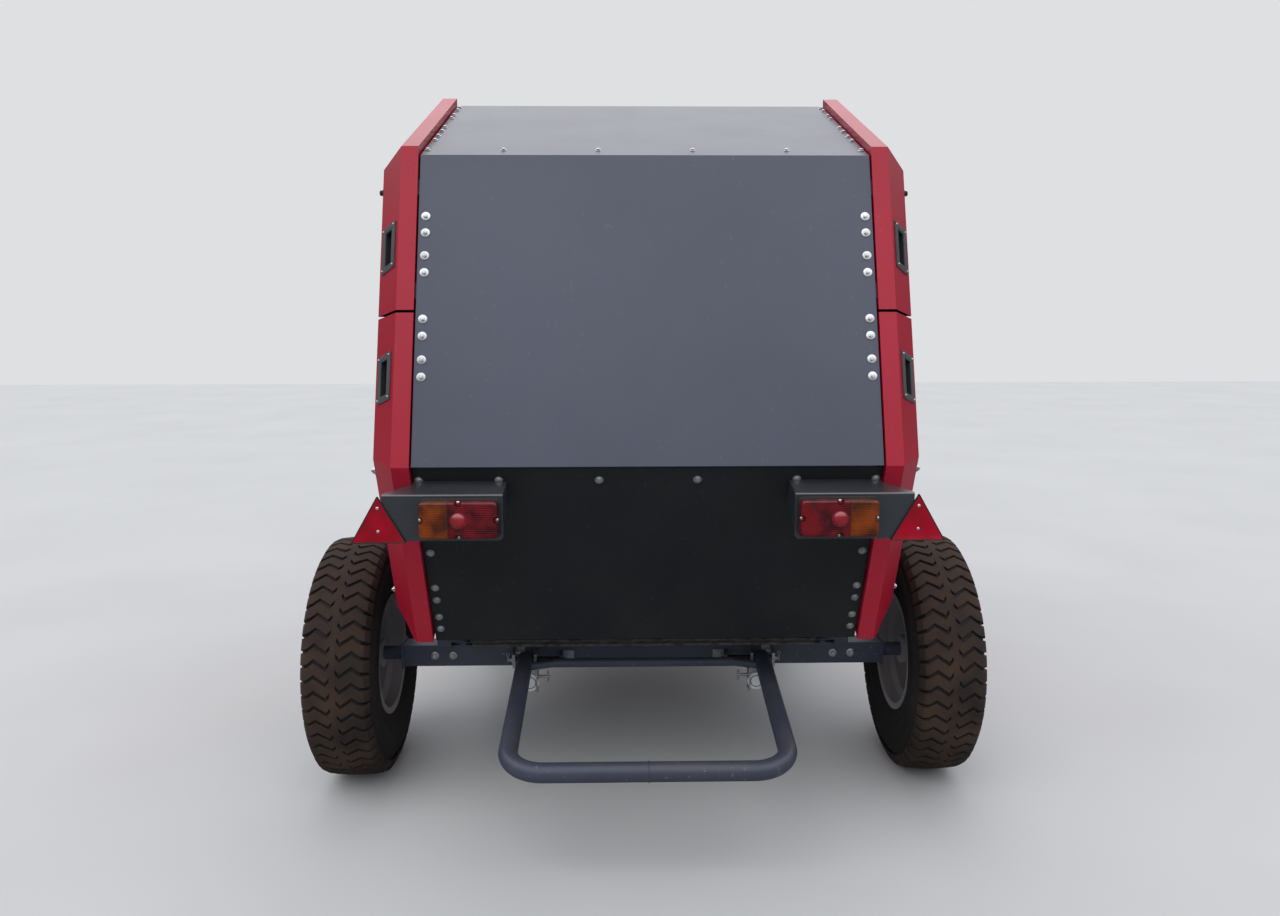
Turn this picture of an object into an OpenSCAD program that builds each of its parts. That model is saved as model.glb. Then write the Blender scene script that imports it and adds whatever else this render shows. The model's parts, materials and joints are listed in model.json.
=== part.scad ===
// Round baler with a fixed roller chamber, towed, standing on its wheels and parking jack.
// X is the machine's right, Y points to the tractor, Z is up, millimetres.
// Side outlines are [y, z] points, with y measured forward from the wheel axle and z from the ground.

/* [Wheels] */
// Outer diameter of the road tyre
tyre_d = 860; // [760:10:900]
// Section width of the road tyre
tyre_w = 250; // [220:5:270]
// Width of the tread
tread_w = 206; // [180:2:210]
// Diameter of the rim flange
rim_d = 440; // [400:5:470]
// Gap between a side shield and the tyre beside it
wheel_gap = 82; // [60:1:120]
// Depth of the wheel hub behind the wheel's middle
hub_back = 70; // [60:1:80]
// Diameter of the wheel spindle
spindle_d = 50; // [40:1:56]
// Running clearance round a turning shaft, on the radius
run_gap = 0.05; // [0.03:0.01:0.08]

/* [Axle] */
// Side of the square axle tube
axle_tube = 80; // [70:5:90]
// Spindle that shows between the axle and a wheel hub
stub_show = 72; // [40:1:100]
// Thickness of the plates on the axle's ends
end_t = 8; // [6:1:12]
// Wall of the square tubes
tube_t = 6; // [4:1:8]

/* [Chamber] */
// Clear width between the chamber walls
chamber_w = 1235; // [1200:5:1240]
// Thickness of a chamber wall
wall_t = 5; // [4:1:6]
// Centre of the chamber, forward of the axle
chamber_y = 300; // [295:1:305]
// Height of the centre of the chamber
chamber_z = 1300; // [1295:1:1305]
// Radius of the circle of roller centres
roller_ring = 810; // [800:1:812]
// Outside radius of a roller over its ribs
roller_r = 105; // [95:1:106]
// Height of a roller's ribs
rib_h = 7; // [4:1:12]
// Number of ribs on a roller
rib_n = 10; // [8:1:14]
// Angle from roller to roller
roller_step = 20; // [20:1:20]
// Diameter of a roller's shaft
shaft_d = 40; // [36:1:46]
// Gap round a roller's shaft in its bearing
seat_gap = 0.3; // [0.2:0.05:0.5]
// Outside diameter of a bearing housing
bearing_d = 116; // [100:2:120]
// Thickness of a bearing housing
bearing_t = 24; // [16:1:30]
// Wall of a roller's drum
drum_t = 5; // [4:1:8]

/* [Panels] */
// How far a grey panel stands past the frame channel on each side
panel_past = 14.5; // [12:0.5:18]
// Thickness of the sheet
sheet_t = 3; // [2:0.5:4]
// Depth of the frame channel behind the panels
frame_tube = 48; // [40:1:50]
// Thickness of the channel's flanges
flange_t = 6; // [4:1:8]
// How far the lower rear panel lies inside the main one
lower_step = 12; // [6:1:16]
// Gap between the tailgate and the front half
seam_gap = 16; // [14:1:20]
// Height of the lower edge of the front cover's sheet
cover_foot = 1180; // [1170:5:1200]

/* [Side shields] */
// Gap between a panel and the shield beside it
shield_gap = 5; // [4:1:8]
// Width of the shield's flat strip
strip_w = 52; // [44:1:60]
// Width of the shield's bevel across the machine
bevel_w = 81; // [70:1:84]
// Depth of the bevel at the rear and the front
bevel_in = 121; // [100:1:130]
// Depth of the bevel along the roof
bevel_top = 92; // [80:1:100]
// How far the shield stands above the roof
proud_top = 24; // [16:1:26]
// How far the shield stands behind the main panel
proud_rear = 6; // [3:1:8]
// Height of the seam between the upper and lower shield
shield_seam_z = 1680; // [1660:5:1700]
// Fall of that seam across the bevel
seam_fall = 21; // [0:1:24]
// Depth of the return behind a shield's inner edge
return_d = 40; // [20:1:60]
// Height of the lower edge of the front side door
door_z = 985; // [980:1:1000]
// Length of a grip opening
grip_l = 137; // [120:1:150]
// Width of a grip opening
grip_w = 92; // [70:1:96]

/* [Tail lamps] */
// Width of a tail lamp
lamp_w = 228; // [200:2:240]
// Height of a tail lamp
lamp_h = 112; // [100:1:116]
// Depth of a tail lamp's body
lamp_depth = 44; // [36:1:56]
// Height of the round dome on the lens
dome_h = 12; // [8:1:16]
// Side of the reflector triangle
triangle_side = 157; // [150:1:162]

/* [Bale ramp] */
// Diameter of the ramp's tube
ramp_d = 60; // [54:1:64]
// Half the distance between the ramp's arms
ramp_half = 432; // [425:1:440]
// Reach of the ramp from its hinge to its bar
ramp_reach = 684; // [640:2:720]
// Bend radius of the ramp's tube
ramp_bend = 115; // [100:5:140]
// Fall of the ramp from its hinge to its bar, degrees
ramp_fall = 9.3; // [8:0.1:11]

/* [Pickup] */
// Gap between a chassis rail and the pickup's side plate
pickup_gap = 12; // [8:1:16]
// Radius to the tips of the tines
tine_tip_r = 300; // [285:1:302]
// Radius of the circle of tine bars
tine_bar_r = 155; // [145:1:160]
// Diameter of a tine
tine_d = 6; // [5:0.5:7]
// Rows of tines
tine_rows = 4; // [3:1:5]
// Gap between the pickup's side plates and its outermost bands
tine_margin = 64; // [56:1:76]
// Tines in a row
tine_n = 20; // [16:2:20]
// Slot between two stripper bands
slot_w = 16; // [14:1:22]
// Outside radius of the stripper bands
band_r = 215; // [205:1:220]
// Diameter of a gauge wheel
gauge_d = 360; // [340:5:370]
// Width of a gauge wheel
gauge_w = 84; // [70:2:90]

/* [Drawbar] */
// Height of the centre of the towing eye
eye_z = 600; // [580:5:640]
// Distance of the towing eye from the axle
eye_y = 2985; // [2900:5:3050]
// Bore of the towing eye
eye_bore = 50; // [40:1:52]
// Thickness of the towing eye
eye_t = 34; // [30:1:40]
// Height of the drawbar's beams
beam_h = 100; // [90:5:110]
// Width of the drawbar's beams
beam_w = 70; // [60:5:80]
// Distance of the jack from the axle
jack_y = 2300; // [2260:10:2360]
// Gap between the jack's centre and the beam beside it
jack_gap = 88; // [70:1:100]
// Side of the jack's foot
foot_w = 190; // [160:5:220]

/* [Tailgate cylinders] */
// Outside diameter of the cylinder barrel
barrel_d = 60; // [50:1:64]
// Diameter of the piston rod
rod_d = 30; // [25:1:34]

/* [Hidden] */
$fn = 48;
axle_z = tyre_d / 2;
wall_in = chamber_w / 2;
wall_out = wall_in + wall_t;
tube_out = wall_out + frame_tube;
half = tube_out + panel_past;
panel_w = 2 * half;
strip_in = half + shield_gap;
strip_out = strip_in + strip_w;
shield_out = strip_out + bevel_w;
track = 2 * (shield_out + wheel_gap) + tyre_w;
axle_len = track - 2 * (hub_back + stub_show + end_t);
fit = 0.3;
// Paint's thickness between a sheet and the frame that it lies on.
coat = 0.05;

// Side outline of the tailgate, from its hinge end over the roof and down to its lower edge.
gate_pts = [[331, 2449], [-429, 2151], [-719, 1234], [-438, 619]];
// Side outline of the front half, from the foot of the front cover up to the hinge end.
nose_pts = [[1300, 930], [1300, 1450], [1020, 2120], [405, 2440]];
// Tailgate hinge and the foot of the seam between the two halves.
hinge_pt = [362, 2415];
seam_foot = [45, 500];
// Hinge parts of the tailgate.
hinge_pin_d = 30;
hinge_ear_r = 26;

// Lowest and highest line of the tailgate and front walls.
gate_floor = 500;
nose_floor = 375;

// Lamp bracket: its face stands behind the panel.
lamp_face_y = -800;
lamp_z = 1103;
lamp_x = 533;
bracket_x = [413, strip_out + 11];
bracket_z = [1036, 1168];
bracket_root_z = 1189;
bracket_corner = 15;
lens_corner = 16;
triangle_x = strip_out + 22;
triangle_z = 1031;
reflector_t = 6;

// Rear and front ends, from which the origin is set midway along the machine.
rear_end = lamp_face_y - lamp_depth - dome_h;
eye_r = 60;
front_end = eye_y + eye_r;
mid_y = (rear_end + front_end) / 2;

// Ramp hinge behind the axle tube.
ramp_pivot = [-80, axle_z - 2];
ramp_pin_d = 20;
ramp_ear_x = [ramp_half - ramp_d / 2 - 14, ramp_half + ramp_d / 2 + 4];

// Pickup: its pivot and, raised, the centre of its reel and of its gauge wheels.
pickup_pivot = [1020, 660];
reel_pt = [1330, 500];
gauge_pt = [1355, 307];
pickup_plate_t = 6;
band_back = 342;
reel_shaft_d = 40;
gauge_pin_d = 25;
pivot_pin_d = 30;

// Rails, front beam and gearbox.
rail_x = [strip_in + 12, strip_in + 62];
pickup_in = rail_x[1] + pickup_gap;
tine_pitch = 2 * (pickup_in - tine_margin) / tine_n;
band_half = pickup_in - tine_margin - 4;
hanger_x = pickup_in + pickup_plate_t + 14;
gauge_x = pickup_in + pickup_plate_t + 22;
rail_h = 80;
rail_low = axle_z + axle_tube / 2;
beam_y = 1262;
beam_z = 930;
beam_tube = 80;
gearbox_size = [240, 240, 260];
gearbox_y = beam_y + beam_tube / 2 + gearbox_size.y / 2;
gearbox_z = 1030;
pto_front = [0, 2620, 800];
guard_d = 90;
yoke_bore = 35;

// Drawbar.
drawbar_start = [wall_in, beam_y, beam_z - 6];
drawbar_end = [60, eye_y - 140, eye_z];

// Jack: its sleeve is on the left beam.
beam_at_jack = drawbar_start.x + (drawbar_end.x - drawbar_start.x)
    * (jack_y - drawbar_start.y) / (drawbar_end.y - drawbar_start.y);
jack_x = -(beam_at_jack + beam_w / 2 + jack_gap);
sleeve_d = 76;
jack_leg_d = 60;
sleeve_z = [430, 1010];
foot_t = 10;
crank_z = sleeve_z[1] + 14;

// Twine box on the front cover.
box_half = 610;
box_z = [1450, 1860];
box_front = 1600;
lid_t = 3;
lid_lip = 26;

// Front side door hinge, ahead of the door's front edge.
door_axis = [strip_in + 10, nose_pts[0].x + 24];
door_hinge_z = [1060, 1380];
door_pin_d = 16;

// Gull-wing hinge of the lower shield, outside its outer face.
wing_axis = [shield_out + 10, shield_seam_z];
wing_hinge_y = [-260, 120];
wing_pin_d = 10;
shield_foot_z = 960;

// Cylinder pivots and the plane in which the cylinders lie.
cyl_foot = [700, 1170];
cyl_head = [100, 2200];
cyl_x = strip_in + 36;
cyl_len = norm(cyl_head - cyl_foot);
cyl_tilt = atan2(cyl_head.x - cyl_foot.x, cyl_head.y - cyl_foot.y);
barrel_len = 700;
eye_w = 36;
eye_od = 60;

gate_roller_angles = [for (i = [0:7]) 101 + i * roller_step];
nose_roller_angles = [for (a = [261, 281, 301, 341, 361, 381, 401, 421, 441]) a];

paint_red = [0.70, 0.07, 0.12];
paint_grey = [0.30, 0.32, 0.37];
paint_frame = [0.24, 0.25, 0.30];
zinc = [0.75, 0.76, 0.78];
steel = [0.55, 0.55, 0.56];
rubber = [0.07, 0.07, 0.07];
rim_grey = [0.55, 0.55, 0.58];

// Line geometry for the side outlines.
function left_of(a, b) = let (u = (b - a) / norm(b - a)) [-u.y, u.x];
function slid(a, b, d) = [a + d * left_of(a, b), b + d * left_of(a, b)];
function cross2(u, v) = u.x * v.y - u.y * v.x;
function meet(l, m) = let (u = l[1] - l[0], v = m[1] - m[0])
    l[0] + u * cross2(m[0] - l[0], v) / cross2(u, v);
function level(z) = [[0, z], [1, z]];
function upright(y) = [[y, 0], [y, 1]];
function gate_edge(i, d) = slid(gate_pts[i], gate_pts[i + 1], d);
function nose_edge(i, d) = slid(nose_pts[i], nose_pts[i + 1], d);
// The seam line moved forward by d.
function seam(d) = slid(hinge_pt, seam_foot, d);
function gate_seam() = seam(-seam_gap / 2);
function nose_seam() = seam(seam_gap / 2);
function ring_pt(a) = [chamber_y + roller_ring * cos(a), chamber_z + roller_ring * sin(a)];

// Outline of the tailgate at a depth below each of its three faces.
function gate_wall_outline(d, foot) = [
    meet(gate_edge(0, d), gate_seam()),
    meet(gate_edge(0, d), gate_edge(1, d)),
    meet(gate_edge(1, d), gate_edge(2, d + lower_step)),
    meet(gate_edge(2, d + lower_step), level(gate_pts[3].y)),
    [gate_pts[3].x + 330, foot],
    meet(gate_seam(), level(foot))];
function nose_wall_outline(d, foot) = [
    meet(nose_edge(0, d), level(beam_z + beam_tube / 2)),
    meet(nose_edge(0, d), nose_edge(1, d)),
    meet(nose_edge(1, d), nose_edge(2, d)),
    meet(nose_edge(2, d), nose_seam()),
    meet(nose_seam(), level(rail_low + 12)),
    [meet(nose_seam(), level(rail_low + 12)).x, foot],
    [500, foot], [800, 480], [900, 660], [930, 800], [1120, beam_z + beam_tube / 2]];
// A closed outline with every edge moved inward by d.
function inset(p, d) = let (n = len(p)) [for (i = [0:n - 1])
    meet(slid(p[(i + n - 1) % n], p[i], d), slid(p[i], p[(i + 1) % n], d))];

// Shield outlines: the strip's edge and the outer face's edge, both at a depth d inside.
function shield_edges(in_top, in_rear) = [
    gate_edge(0, in_top - proud_top), gate_edge(1, in_rear - proud_rear),
    gate_edge(2, in_rear - proud_rear)];
function return_edges() = shield_edges(proud_top + return_d, proud_rear + return_d);
function upper_outline(e, z) = [
    meet(e[0], upright(gate_pts[0].x)), meet(e[0], e[1]), meet(e[1], level(z)),
    meet(gate_seam(), level(z)), meet(gate_seam(), upright(gate_pts[0].x))];
function lower_outline(e, z) = [
    meet(e[1], level(z)), meet(e[1], e[2]),
    meet(e[2], level(gate_pts[3].y)),
    meet(gate_seam(), level(shield_foot_z)), meet(gate_seam(), level(z))];
function door_edges(in_top, in_front) = [
    nose_edge(0, in_front), nose_edge(1, in_front), nose_edge(2, in_top - proud_top)];
function door_outline(e, z) = [
    meet(e[0], level(z)), meet(e[0], e[1]), meet(e[1], e[2]),
    meet(e[2], upright(nose_pts[3].x + 35)), meet(nose_seam(), level(hinge_pt.y - 90)),
    meet(nose_seam(), level(z))];
// A shield's outline run past the seam, so that its tray has no wall there.
function open_front(p) = [for (i = [0:len(p) - 1]) (i >= len(p) - 2 || i == 0) ? p[i] + [8, 0] : p[i]];
function open_back(p) = [for (i = [0:len(p) - 1]) i >= 3 ? p[i] - [9, 0] : p[i]];

// Placing helpers.
module row() { translate([0, -mid_y, 0]) children(); }
module along_x(x0, x1) { translate([x0, 0, 0]) rotate([90, 0, 90]) linear_extrude(x1 - x0) children(); }
module x_cyl(x0, x1, p, r) { translate([x0, p.x, p.y]) rotate([0, 90, 0]) cylinder(h = x1 - x0, r = r); }
module both_sides() {
    children();
    mirror([1, 0, 0]) children();
}
module on_side(side) {
    if (side > 0) children();
    else mirror([1, 0, 0]) children();
}
// A square bar from a to b, w across and h high.
module bar(a, b, w, h) {
    v = b - a;
    translate(a) rotate([0, -asin(v.z / norm(v)), atan2(v.y, v.x)])
        translate([0, -w / 2, -h / 2]) cube([norm(v), w, h]);
}
// A round rod from a to b.
module rod(a, b, r) {
    v = b - a;
    translate(a) rotate([0, acos(v.z / norm(v)), atan2(v.y, v.x)]) cylinder(h = norm(v), r = r);
}
module box_at(x, y, z) { translate([x[0], y[0], z[0]]) cube([x[1] - x[0], y[1] - y[0], z[1] - z[0]]); }

// A sheet along one face of the tailgate or nose, between two corner points.
module sheet(outer, inner, w) { along_x(-w / 2, w / 2) polygon(concat(outer, inner)); }

// A channel round an outline, open to the side: two flanges that stand on the wall.
module channel(p) {
    along_x(wall_out, tube_out) {
        difference() {
            polygon(p);
            polygon(inset(p, flange_t));
        }
        difference() {
            polygon(inset(p, frame_tube - flange_t));
            polygon(inset(p, frame_tube));
        }
    }
}
// A ribbed roller: a hollow drum with an open spider at each end, on a through shaft.
module roller(a) {
    p = ring_pt(a);
    end_gap = 4;
    drum_r = roller_r - rib_h;
    x_cyl(-wall_out - bearing_t, wall_out + bearing_t, p, shaft_d / 2);
    translate([-wall_in + end_gap, p.x, p.y]) rotate([90, 0, 90])
        linear_extrude(chamber_w - 2 * end_gap) difference() {
            union() {
                circle(r = drum_r);
                for (i = [0:rib_n - 1])
                    rotate(i * 360 / rib_n) translate([drum_r - drum_t, -6]) square([rib_h + drum_t, 12]);
            }
            circle(r = drum_r - drum_t);
        }
    both_sides() translate([wall_in - 30, p.x, p.y]) rotate([90, 0, 90]) linear_extrude(8) difference() {
        circle(r = drum_r - drum_t / 2);
        for (i = [0:2]) rotate(i * 120) translate([drum_r * 0.56, 0]) circle(r = 22);
    }
}
module bearings(angles) {
    for (a = angles) x_cyl(wall_out, wall_out + bearing_t, ring_pt(a), bearing_d / 2);
}
module bearing_bores(angles) {
    for (a = angles) x_cyl(wall_in - 1, wall_out + bearing_t + 1, ring_pt(a), shaft_d / 2 + seat_gap);
}

// Wheels.
function arc(c, r, a0, a1, n) = [for (i = [0:n]) let (a = a0 + (a1 - a0) * i / n) c + r * [cos(a), sin(a)]];
bead_r = rim_d / 2 - 18;
function tyre_side() = concat(
    [[bead_r, 92], [rim_d / 2 + 4, 98]],
    arc([axle_z - 102, tyre_w / 2 - 48], 48, 108, 60, 6),
    [[axle_z - 26, tread_w / 2 + 3], [axle_z - 11, tread_w / 2 - 3], [axle_z - 4, tread_w / 4]]);
module tyre(side) {
    s = tyre_side();
    color(rubber) row() translate([side * track / 2, 0, axle_z]) rotate([0, 90, 0])
        rotate_extrude($fn = 96) difference() {
            polygon(concat(s, [[axle_z, 0]], [for (i = [len(s) - 1:-1:0]) [s[i].x, -s[i].y]]));
            polygon([
                [bead_r - 1, 62], [rim_d / 2 + 20, 76], [axle_z - 80, tyre_w / 2 - 18],
                [axle_z - 36, tread_w / 2 - 12], [axle_z - 30, 0], [axle_z - 36, -tread_w / 2 + 12],
                [axle_z - 80, -tyre_w / 2 + 18], [rim_d / 2 + 20, -76], [bead_r - 1, -62]]);
        }
}
module rim(side) {
    seat = bead_r - fit;
    color(rim_grey) row() on_side(side) translate([track / 2, 0, axle_z]) rotate([0, 90, 0]) difference() {
        union() {
            rotate_extrude($fn = 96) polygon([
                [seat, 92], [rim_d / 2, 98], [rim_d / 2, 102], [seat - 4, 99], [seat - 8, 60],
                [seat - 30, 44], [seat - 30, -44], [seat - 8, -60], [seat - 4, -99],
                [rim_d / 2, -102], [rim_d / 2, -98], [seat, -92], [seat, -64], [seat - 22, -48],
                [seat - 22, 48], [seat, 64]]);
            rotate_extrude($fn = 96) polygon([
                [40, 12], [90, 12], [120, 36], [seat - 28, 36], [seat - 28, 26], [124, 26],
                [96, 2], [40, 2]]);
            translate([0, 0, -hub_back]) cylinder(h = hub_back + 68, r = 52);
            translate([0, 0, 68]) cylinder(h = 26, r = 38);
            for (i = [0:5]) rotate(i * 60) translate([72, 0, 10]) cylinder(h = 22, r = 13, $fn = 6);
        }
        translate([0, 0, -hub_back - 1]) cylinder(h = hub_back + 60, r = spindle_d / 2 + run_gap);
        for (i = [0:7]) rotate(i * 45) translate([150, 0, 20]) cylinder(h = 24, r = 16);
    }
}
module tyre_left() { tyre(-1); }
module tyre_right() { tyre(1); }
module rim_left() { rim(-1); }
module rim_right() { rim(1); }

module axle() {
    a = axle_tube / 2;
    color(paint_frame) row() translate([0, 0, axle_z]) {
        difference() {
            translate([-axle_len / 2, -a, -a]) cube([axle_len, axle_tube, axle_tube]);
            translate([-axle_len / 2 - 1, -a + tube_t, -a + tube_t])
                cube([axle_len + 2, axle_tube - 2 * tube_t, axle_tube - 2 * tube_t]);
        }
        both_sides() {
            translate([axle_len / 2, -a - 8, -a - 8]) cube([end_t, axle_tube + 16, axle_tube + 16]);
            translate([axle_len / 2 - 60, 0, 0]) rotate([0, 90, 0])
                cylinder(h = track / 2 + 58 - axle_len / 2 + 60, r = spindle_d / 2);
        }
    }
}

module chassis_frame() {
    rail_knee = 620;
    color(paint_frame) row() {
        both_sides() {
            along_x(rail_x[0], rail_x[1]) polygon([
                [-60, rail_low], [rail_knee + 12, rail_low],
                [beam_y + 40, beam_z - 40], [beam_y + 40, beam_z + 40],
                [beam_y - 40, beam_z + 40], [rail_knee - 14, rail_low + rail_h], [-60, rail_low + rail_h]]);
            // Saddles that tie the rails to the chamber walls.
            box_at([wall_out, rail_x[0]], [280, 350], [rail_low + 10, rail_low + 70]);
            box_at([wall_out, rail_x[0]], [784, 806], [606, 650]);
            // Hanger outside the pickup's side plate, with its pivot pin.
            box_at([rail_x[1] - 10, hanger_x + 10], [pickup_pivot.x - 30, pickup_pivot.x + 50], [776, 800]);
            along_x(hanger_x, hanger_x + 10) polygon([
                [pickup_pivot.x - 30, 800], [pickup_pivot.x - 26, pickup_pivot.y - 26],
                [pickup_pivot.x + 26, pickup_pivot.y - 26], [pickup_pivot.x + 50, 800]]);
            x_cyl(pickup_in - 6, hanger_x + 16, pickup_pivot, pivot_pin_d / 2);
        }
        box_at([-rail_x[1], rail_x[1]], [beam_y - 40, beam_y + 40], [beam_z - 40, beam_z + 40]);
    }
}

module front_walls() {
    p = nose_wall_outline(sheet_t + coat, nose_floor);
    nose_y = nose_pts[0].x;
    color(paint_frame) row() difference() {
        union() {
            both_sides() {
                along_x(wall_in, wall_out) polygon(p);
                channel(p);
                bearings(nose_roller_angles);
                // Hinge ear and pin of the tailgate.
                along_x(wall_in, wall_out) hinge_ear();
                x_cyl(wall_in - 40, tube_out + 26, hinge_pt, hinge_pin_d / 2);
                // Foot of the tailgate cylinder with its pin.
                x_cyl(wall_out, cyl_x - eye_w / 2 - 2, cyl_foot, 34);
                x_cyl(wall_out, cyl_x + eye_w / 2 + 8, cyl_foot, 15);
                // Hinge brackets and pins of the side door.
                for (z = door_hinge_z) {
                    box_at([tube_out - 30, strip_in - 2], [nose_y - 20, door_axis.y + 8], [z - 34, z - 22]);
                    box_at([tube_out - 30, door_axis.x + 8], [nose_y + 5, door_axis.y + 8],
                        [z - 34, z - 22]);
                    translate([door_axis.x, door_axis.y, z - 34]) cylinder(h = 68, r = door_pin_d / 2);
                }
            }
            // Tube between the hinge ears.
            x_cyl(-wall_in, wall_in, hinge_pt, 24);
        }
        both_sides() bearing_bores(nose_roller_angles);
    }
}
module hinge_ear() {
    polygon(concat(
        [for (i = [0:12]) hinge_pt + hinge_ear_r * [cos(150 - i * 15), sin(150 - i * 15)]],
        [hinge_pt + [108, -85], hinge_pt + [18, -85]]));
}

module front_cover() {
    color(paint_grey) row() difference() {
        front_sheet();
        // Notches for the door's hinge brackets.
        both_sides() for (z = door_hinge_z)
            box_at([tube_out - 32, half + 1], [nose_pts[0].x - 10, nose_pts[0].x + 1], [z - 36, z - 20]);
    }
}
module front_sheet() {
    sheet(
        [[nose_pts[0].x, cover_foot], nose_pts[1], nose_pts[2], nose_pts[3]],
        [meet(nose_edge(2, sheet_t), [nose_pts[3], nose_pts[3] + left_of(nose_pts[2], nose_pts[3])]),
         meet(nose_edge(1, sheet_t), nose_edge(2, sheet_t)),
         meet(nose_edge(0, sheet_t), nose_edge(1, sheet_t)), [nose_pts[0].x - sheet_t, cover_foot]],
        panel_w);
}
module front_rollers() { color(steel) row() for (a = nose_roller_angles) roller(a); }
module gate_rollers() { color(steel) row() for (a = gate_roller_angles) roller(a); }

// Rear wall line, top line and lid hinge of the twine box.
function box_back(z) = meet(nose_edge(1, -fit), level(z));
box_top = [[box_front, box_z[1] - 80], box_back(box_z[1])];
lid_axis = box_top[1] + [15, 16];
lid_pin_d = 8;
lid_knuckles = [[-box_half + 60, -box_half + 180], [box_half - 180, box_half - 60]];
module twine_box() {
    w = 4;
    base = box_back(box_z[0]);
    color(paint_red) row() {
        difference() {
            along_x(-box_half, box_half) polygon([base, [box_front, box_z[0]], box_top[0], box_top[1]]);
            along_x(-box_half + w, box_half - w) polygon([
                base + [w + 2, w], [box_front - w, box_z[0] + w],
                [box_front - w, box_z[1]], box_top[1] + [w + 2, 40]]);
        }
        // Ears and pins of the lid's hinge.
        for (k = lid_knuckles) {
            for (x = [k[0] - 8, k[1] + 2]) along_x(x, x + 6) polygon([
                box_top[1] + [8, -12], box_top[1] + [24, -14], lid_axis + [7, 6], lid_axis + [-7, 6]]);
            x_cyl(k[0] - 8, k[1] + 8, lid_axis, lid_pin_d / 2);
        }
    }
}
module twine_lid() {
    t = slid(box_top[0], box_top[1], -fit);
    u = slid(box_top[0], box_top[1], -fit - lid_t);
    rear = upright(lid_axis.x + 12);
    nose = upright(box_front + 8);
    color(paint_red) row() difference() {
        union() {
            along_x(-box_half - 10, box_half + 10) polygon([
                meet(t, upright(box_front + 8 - lid_t)), meet(t, rear), meet(u, rear), meet(u, nose),
                meet(t, nose) - [0, lid_lip], meet(t, nose) - [lid_t, lid_lip]]);
            for (k = lid_knuckles) {
                x_cyl(k[0], k[1], lid_axis, 8);
                along_x(k[0], k[1]) polygon([
                    lid_axis + [0, 7], lid_axis + [0, 1], meet(t, rear) + [4, 0], meet(u, rear) + [6, 0]]);
            }
        }
        for (k = lid_knuckles) x_cyl(k[0] - 1, k[1] + 1, lid_axis, lid_pin_d / 2 + run_gap);
    }
}

module gearbox() {
    g = gearbox_size;
    input = [0, gearbox_y + g.y / 2, gearbox_z];
    color(paint_red) row() {
        translate([0, gearbox_y, gearbox_z]) {
            translate(-g / 2) cube(g);
            translate([-g.x / 2 - 16, -g.y / 2, -g.z / 2]) cube([g.x + 32, 16, g.z]);
            rotate([0, 90, 0]) cylinder(h = g.x + 90, r = 70, center = true);
        }
        translate(input - [0, 2, 0]) rotate([-90, 0, 0]) cylinder(h = 26, r = 60);
        translate(input) rotate([-90, 0, 0]) cylinder(h = 58, r = 17.5);
    }
}
pto_back = [0, gearbox_y + gearbox_size.y / 2 + 78, gearbox_z];
function pto_dir() = (pto_front - pto_back) / norm(pto_front - pto_back);
// A forked end that points up and holds a joint's cross at the origin, on a hub l long.
module yoke(l) {
    translate([0, 0, -l]) cylinder(h = l - 30, r = 32);
    for (x = [-29, 19]) {
        translate([x, -15, -36]) cube([10, 30, 36]);
        translate([x, 0, 0]) rotate([0, 90, 0]) cylinder(h = 10, r = 15);
    }
    rotate([0, 90, 0]) cylinder(h = 64, r = 9, center = true);
}
module pto_shaft() {
    u = pto_dir();
    lean = acos(u.z);
    color(steel) row() {
        difference() {
            translate(pto_back) rotate([-90, 0, 0]) yoke(52);
            translate(pto_back - [0, 53, 0]) rotate([-90, 0, 0]) cylinder(h = 40, r = 17.5 + fit);
        }
        translate(pto_back) rotate([lean, 0, 180]) rotate([180, 0, 90]) yoke(64);
        rod(pto_back + 58 * u, pto_front - 58 * u, 22);
        translate(pto_front) rotate([lean, 0, 180]) rotate(90) yoke(64);
        difference() {
            translate(pto_front) rotate([90, 0, 0]) yoke(110);
            translate(pto_front + [0, 50, 0]) rotate([-90, 0, 0]) cylinder(h = 61, r = yoke_bore / 2);
        }
    }
}
module pto_guard() {
    u = pto_dir();
    a = pto_back + 70 * u;
    b = pto_front - 70 * u;
    l = norm(b - a);
    color("black") row() translate(a) rotate([0, acos(u.z), 90]) difference() {
        union() {
            cylinder(h = l, r = guard_d / 2);
            cylinder(h = 90, r1 = 80, r2 = guard_d / 2);
            translate([0, 0, l - 90]) cylinder(h = 90, r1 = guard_d / 2, r2 = 80);
        }
        translate([0, 0, -1]) cylinder(h = l + 2, r = 22 + fit);
        translate([0, 0, -1]) cylinder(h = 60, r = 40);
        translate([0, 0, l - 59]) cylinder(h = 60, r = 40);
    }
}

module drawbar_beam() { bar(drawbar_start, drawbar_end, beam_w, beam_h); }
module drawbar() {
    color(paint_red) row() {
        difference() {
            both_sides() drawbar_beam();
            box_at([-800, 800], [beam_y - 200, beam_y + beam_tube / 2], [700, 1100]);
        }
        box_at([-95, 95], [drawbar_end.y - 60, drawbar_end.y + 46], [eye_z - 50, eye_z + 50]);
        // Cross tube with the cradle of the parked shaft.
        box_at([-250, 250], [jack_y - 10, jack_y + 50], [665, 725]);
        difference() {
            box_at([-60, 60], [jack_y, jack_y + 40], [720, 885]);
            rod(pto_back, pto_front, guard_d / 2 + fit);
        }
    }
}
module towing_eye() {
    color(steel) row() difference() {
        union() {
            translate([0, eye_y, eye_z - eye_t / 2]) cylinder(h = eye_t, r = eye_r);
            box_at([-36, 36], [drawbar_end.y + 46, eye_y], [eye_z - eye_t / 2, eye_z + eye_t / 2]);
        }
        translate([0, eye_y, eye_z - eye_t]) cylinder(h = 2 * eye_t, r = eye_bore / 2);
    }
}

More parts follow.
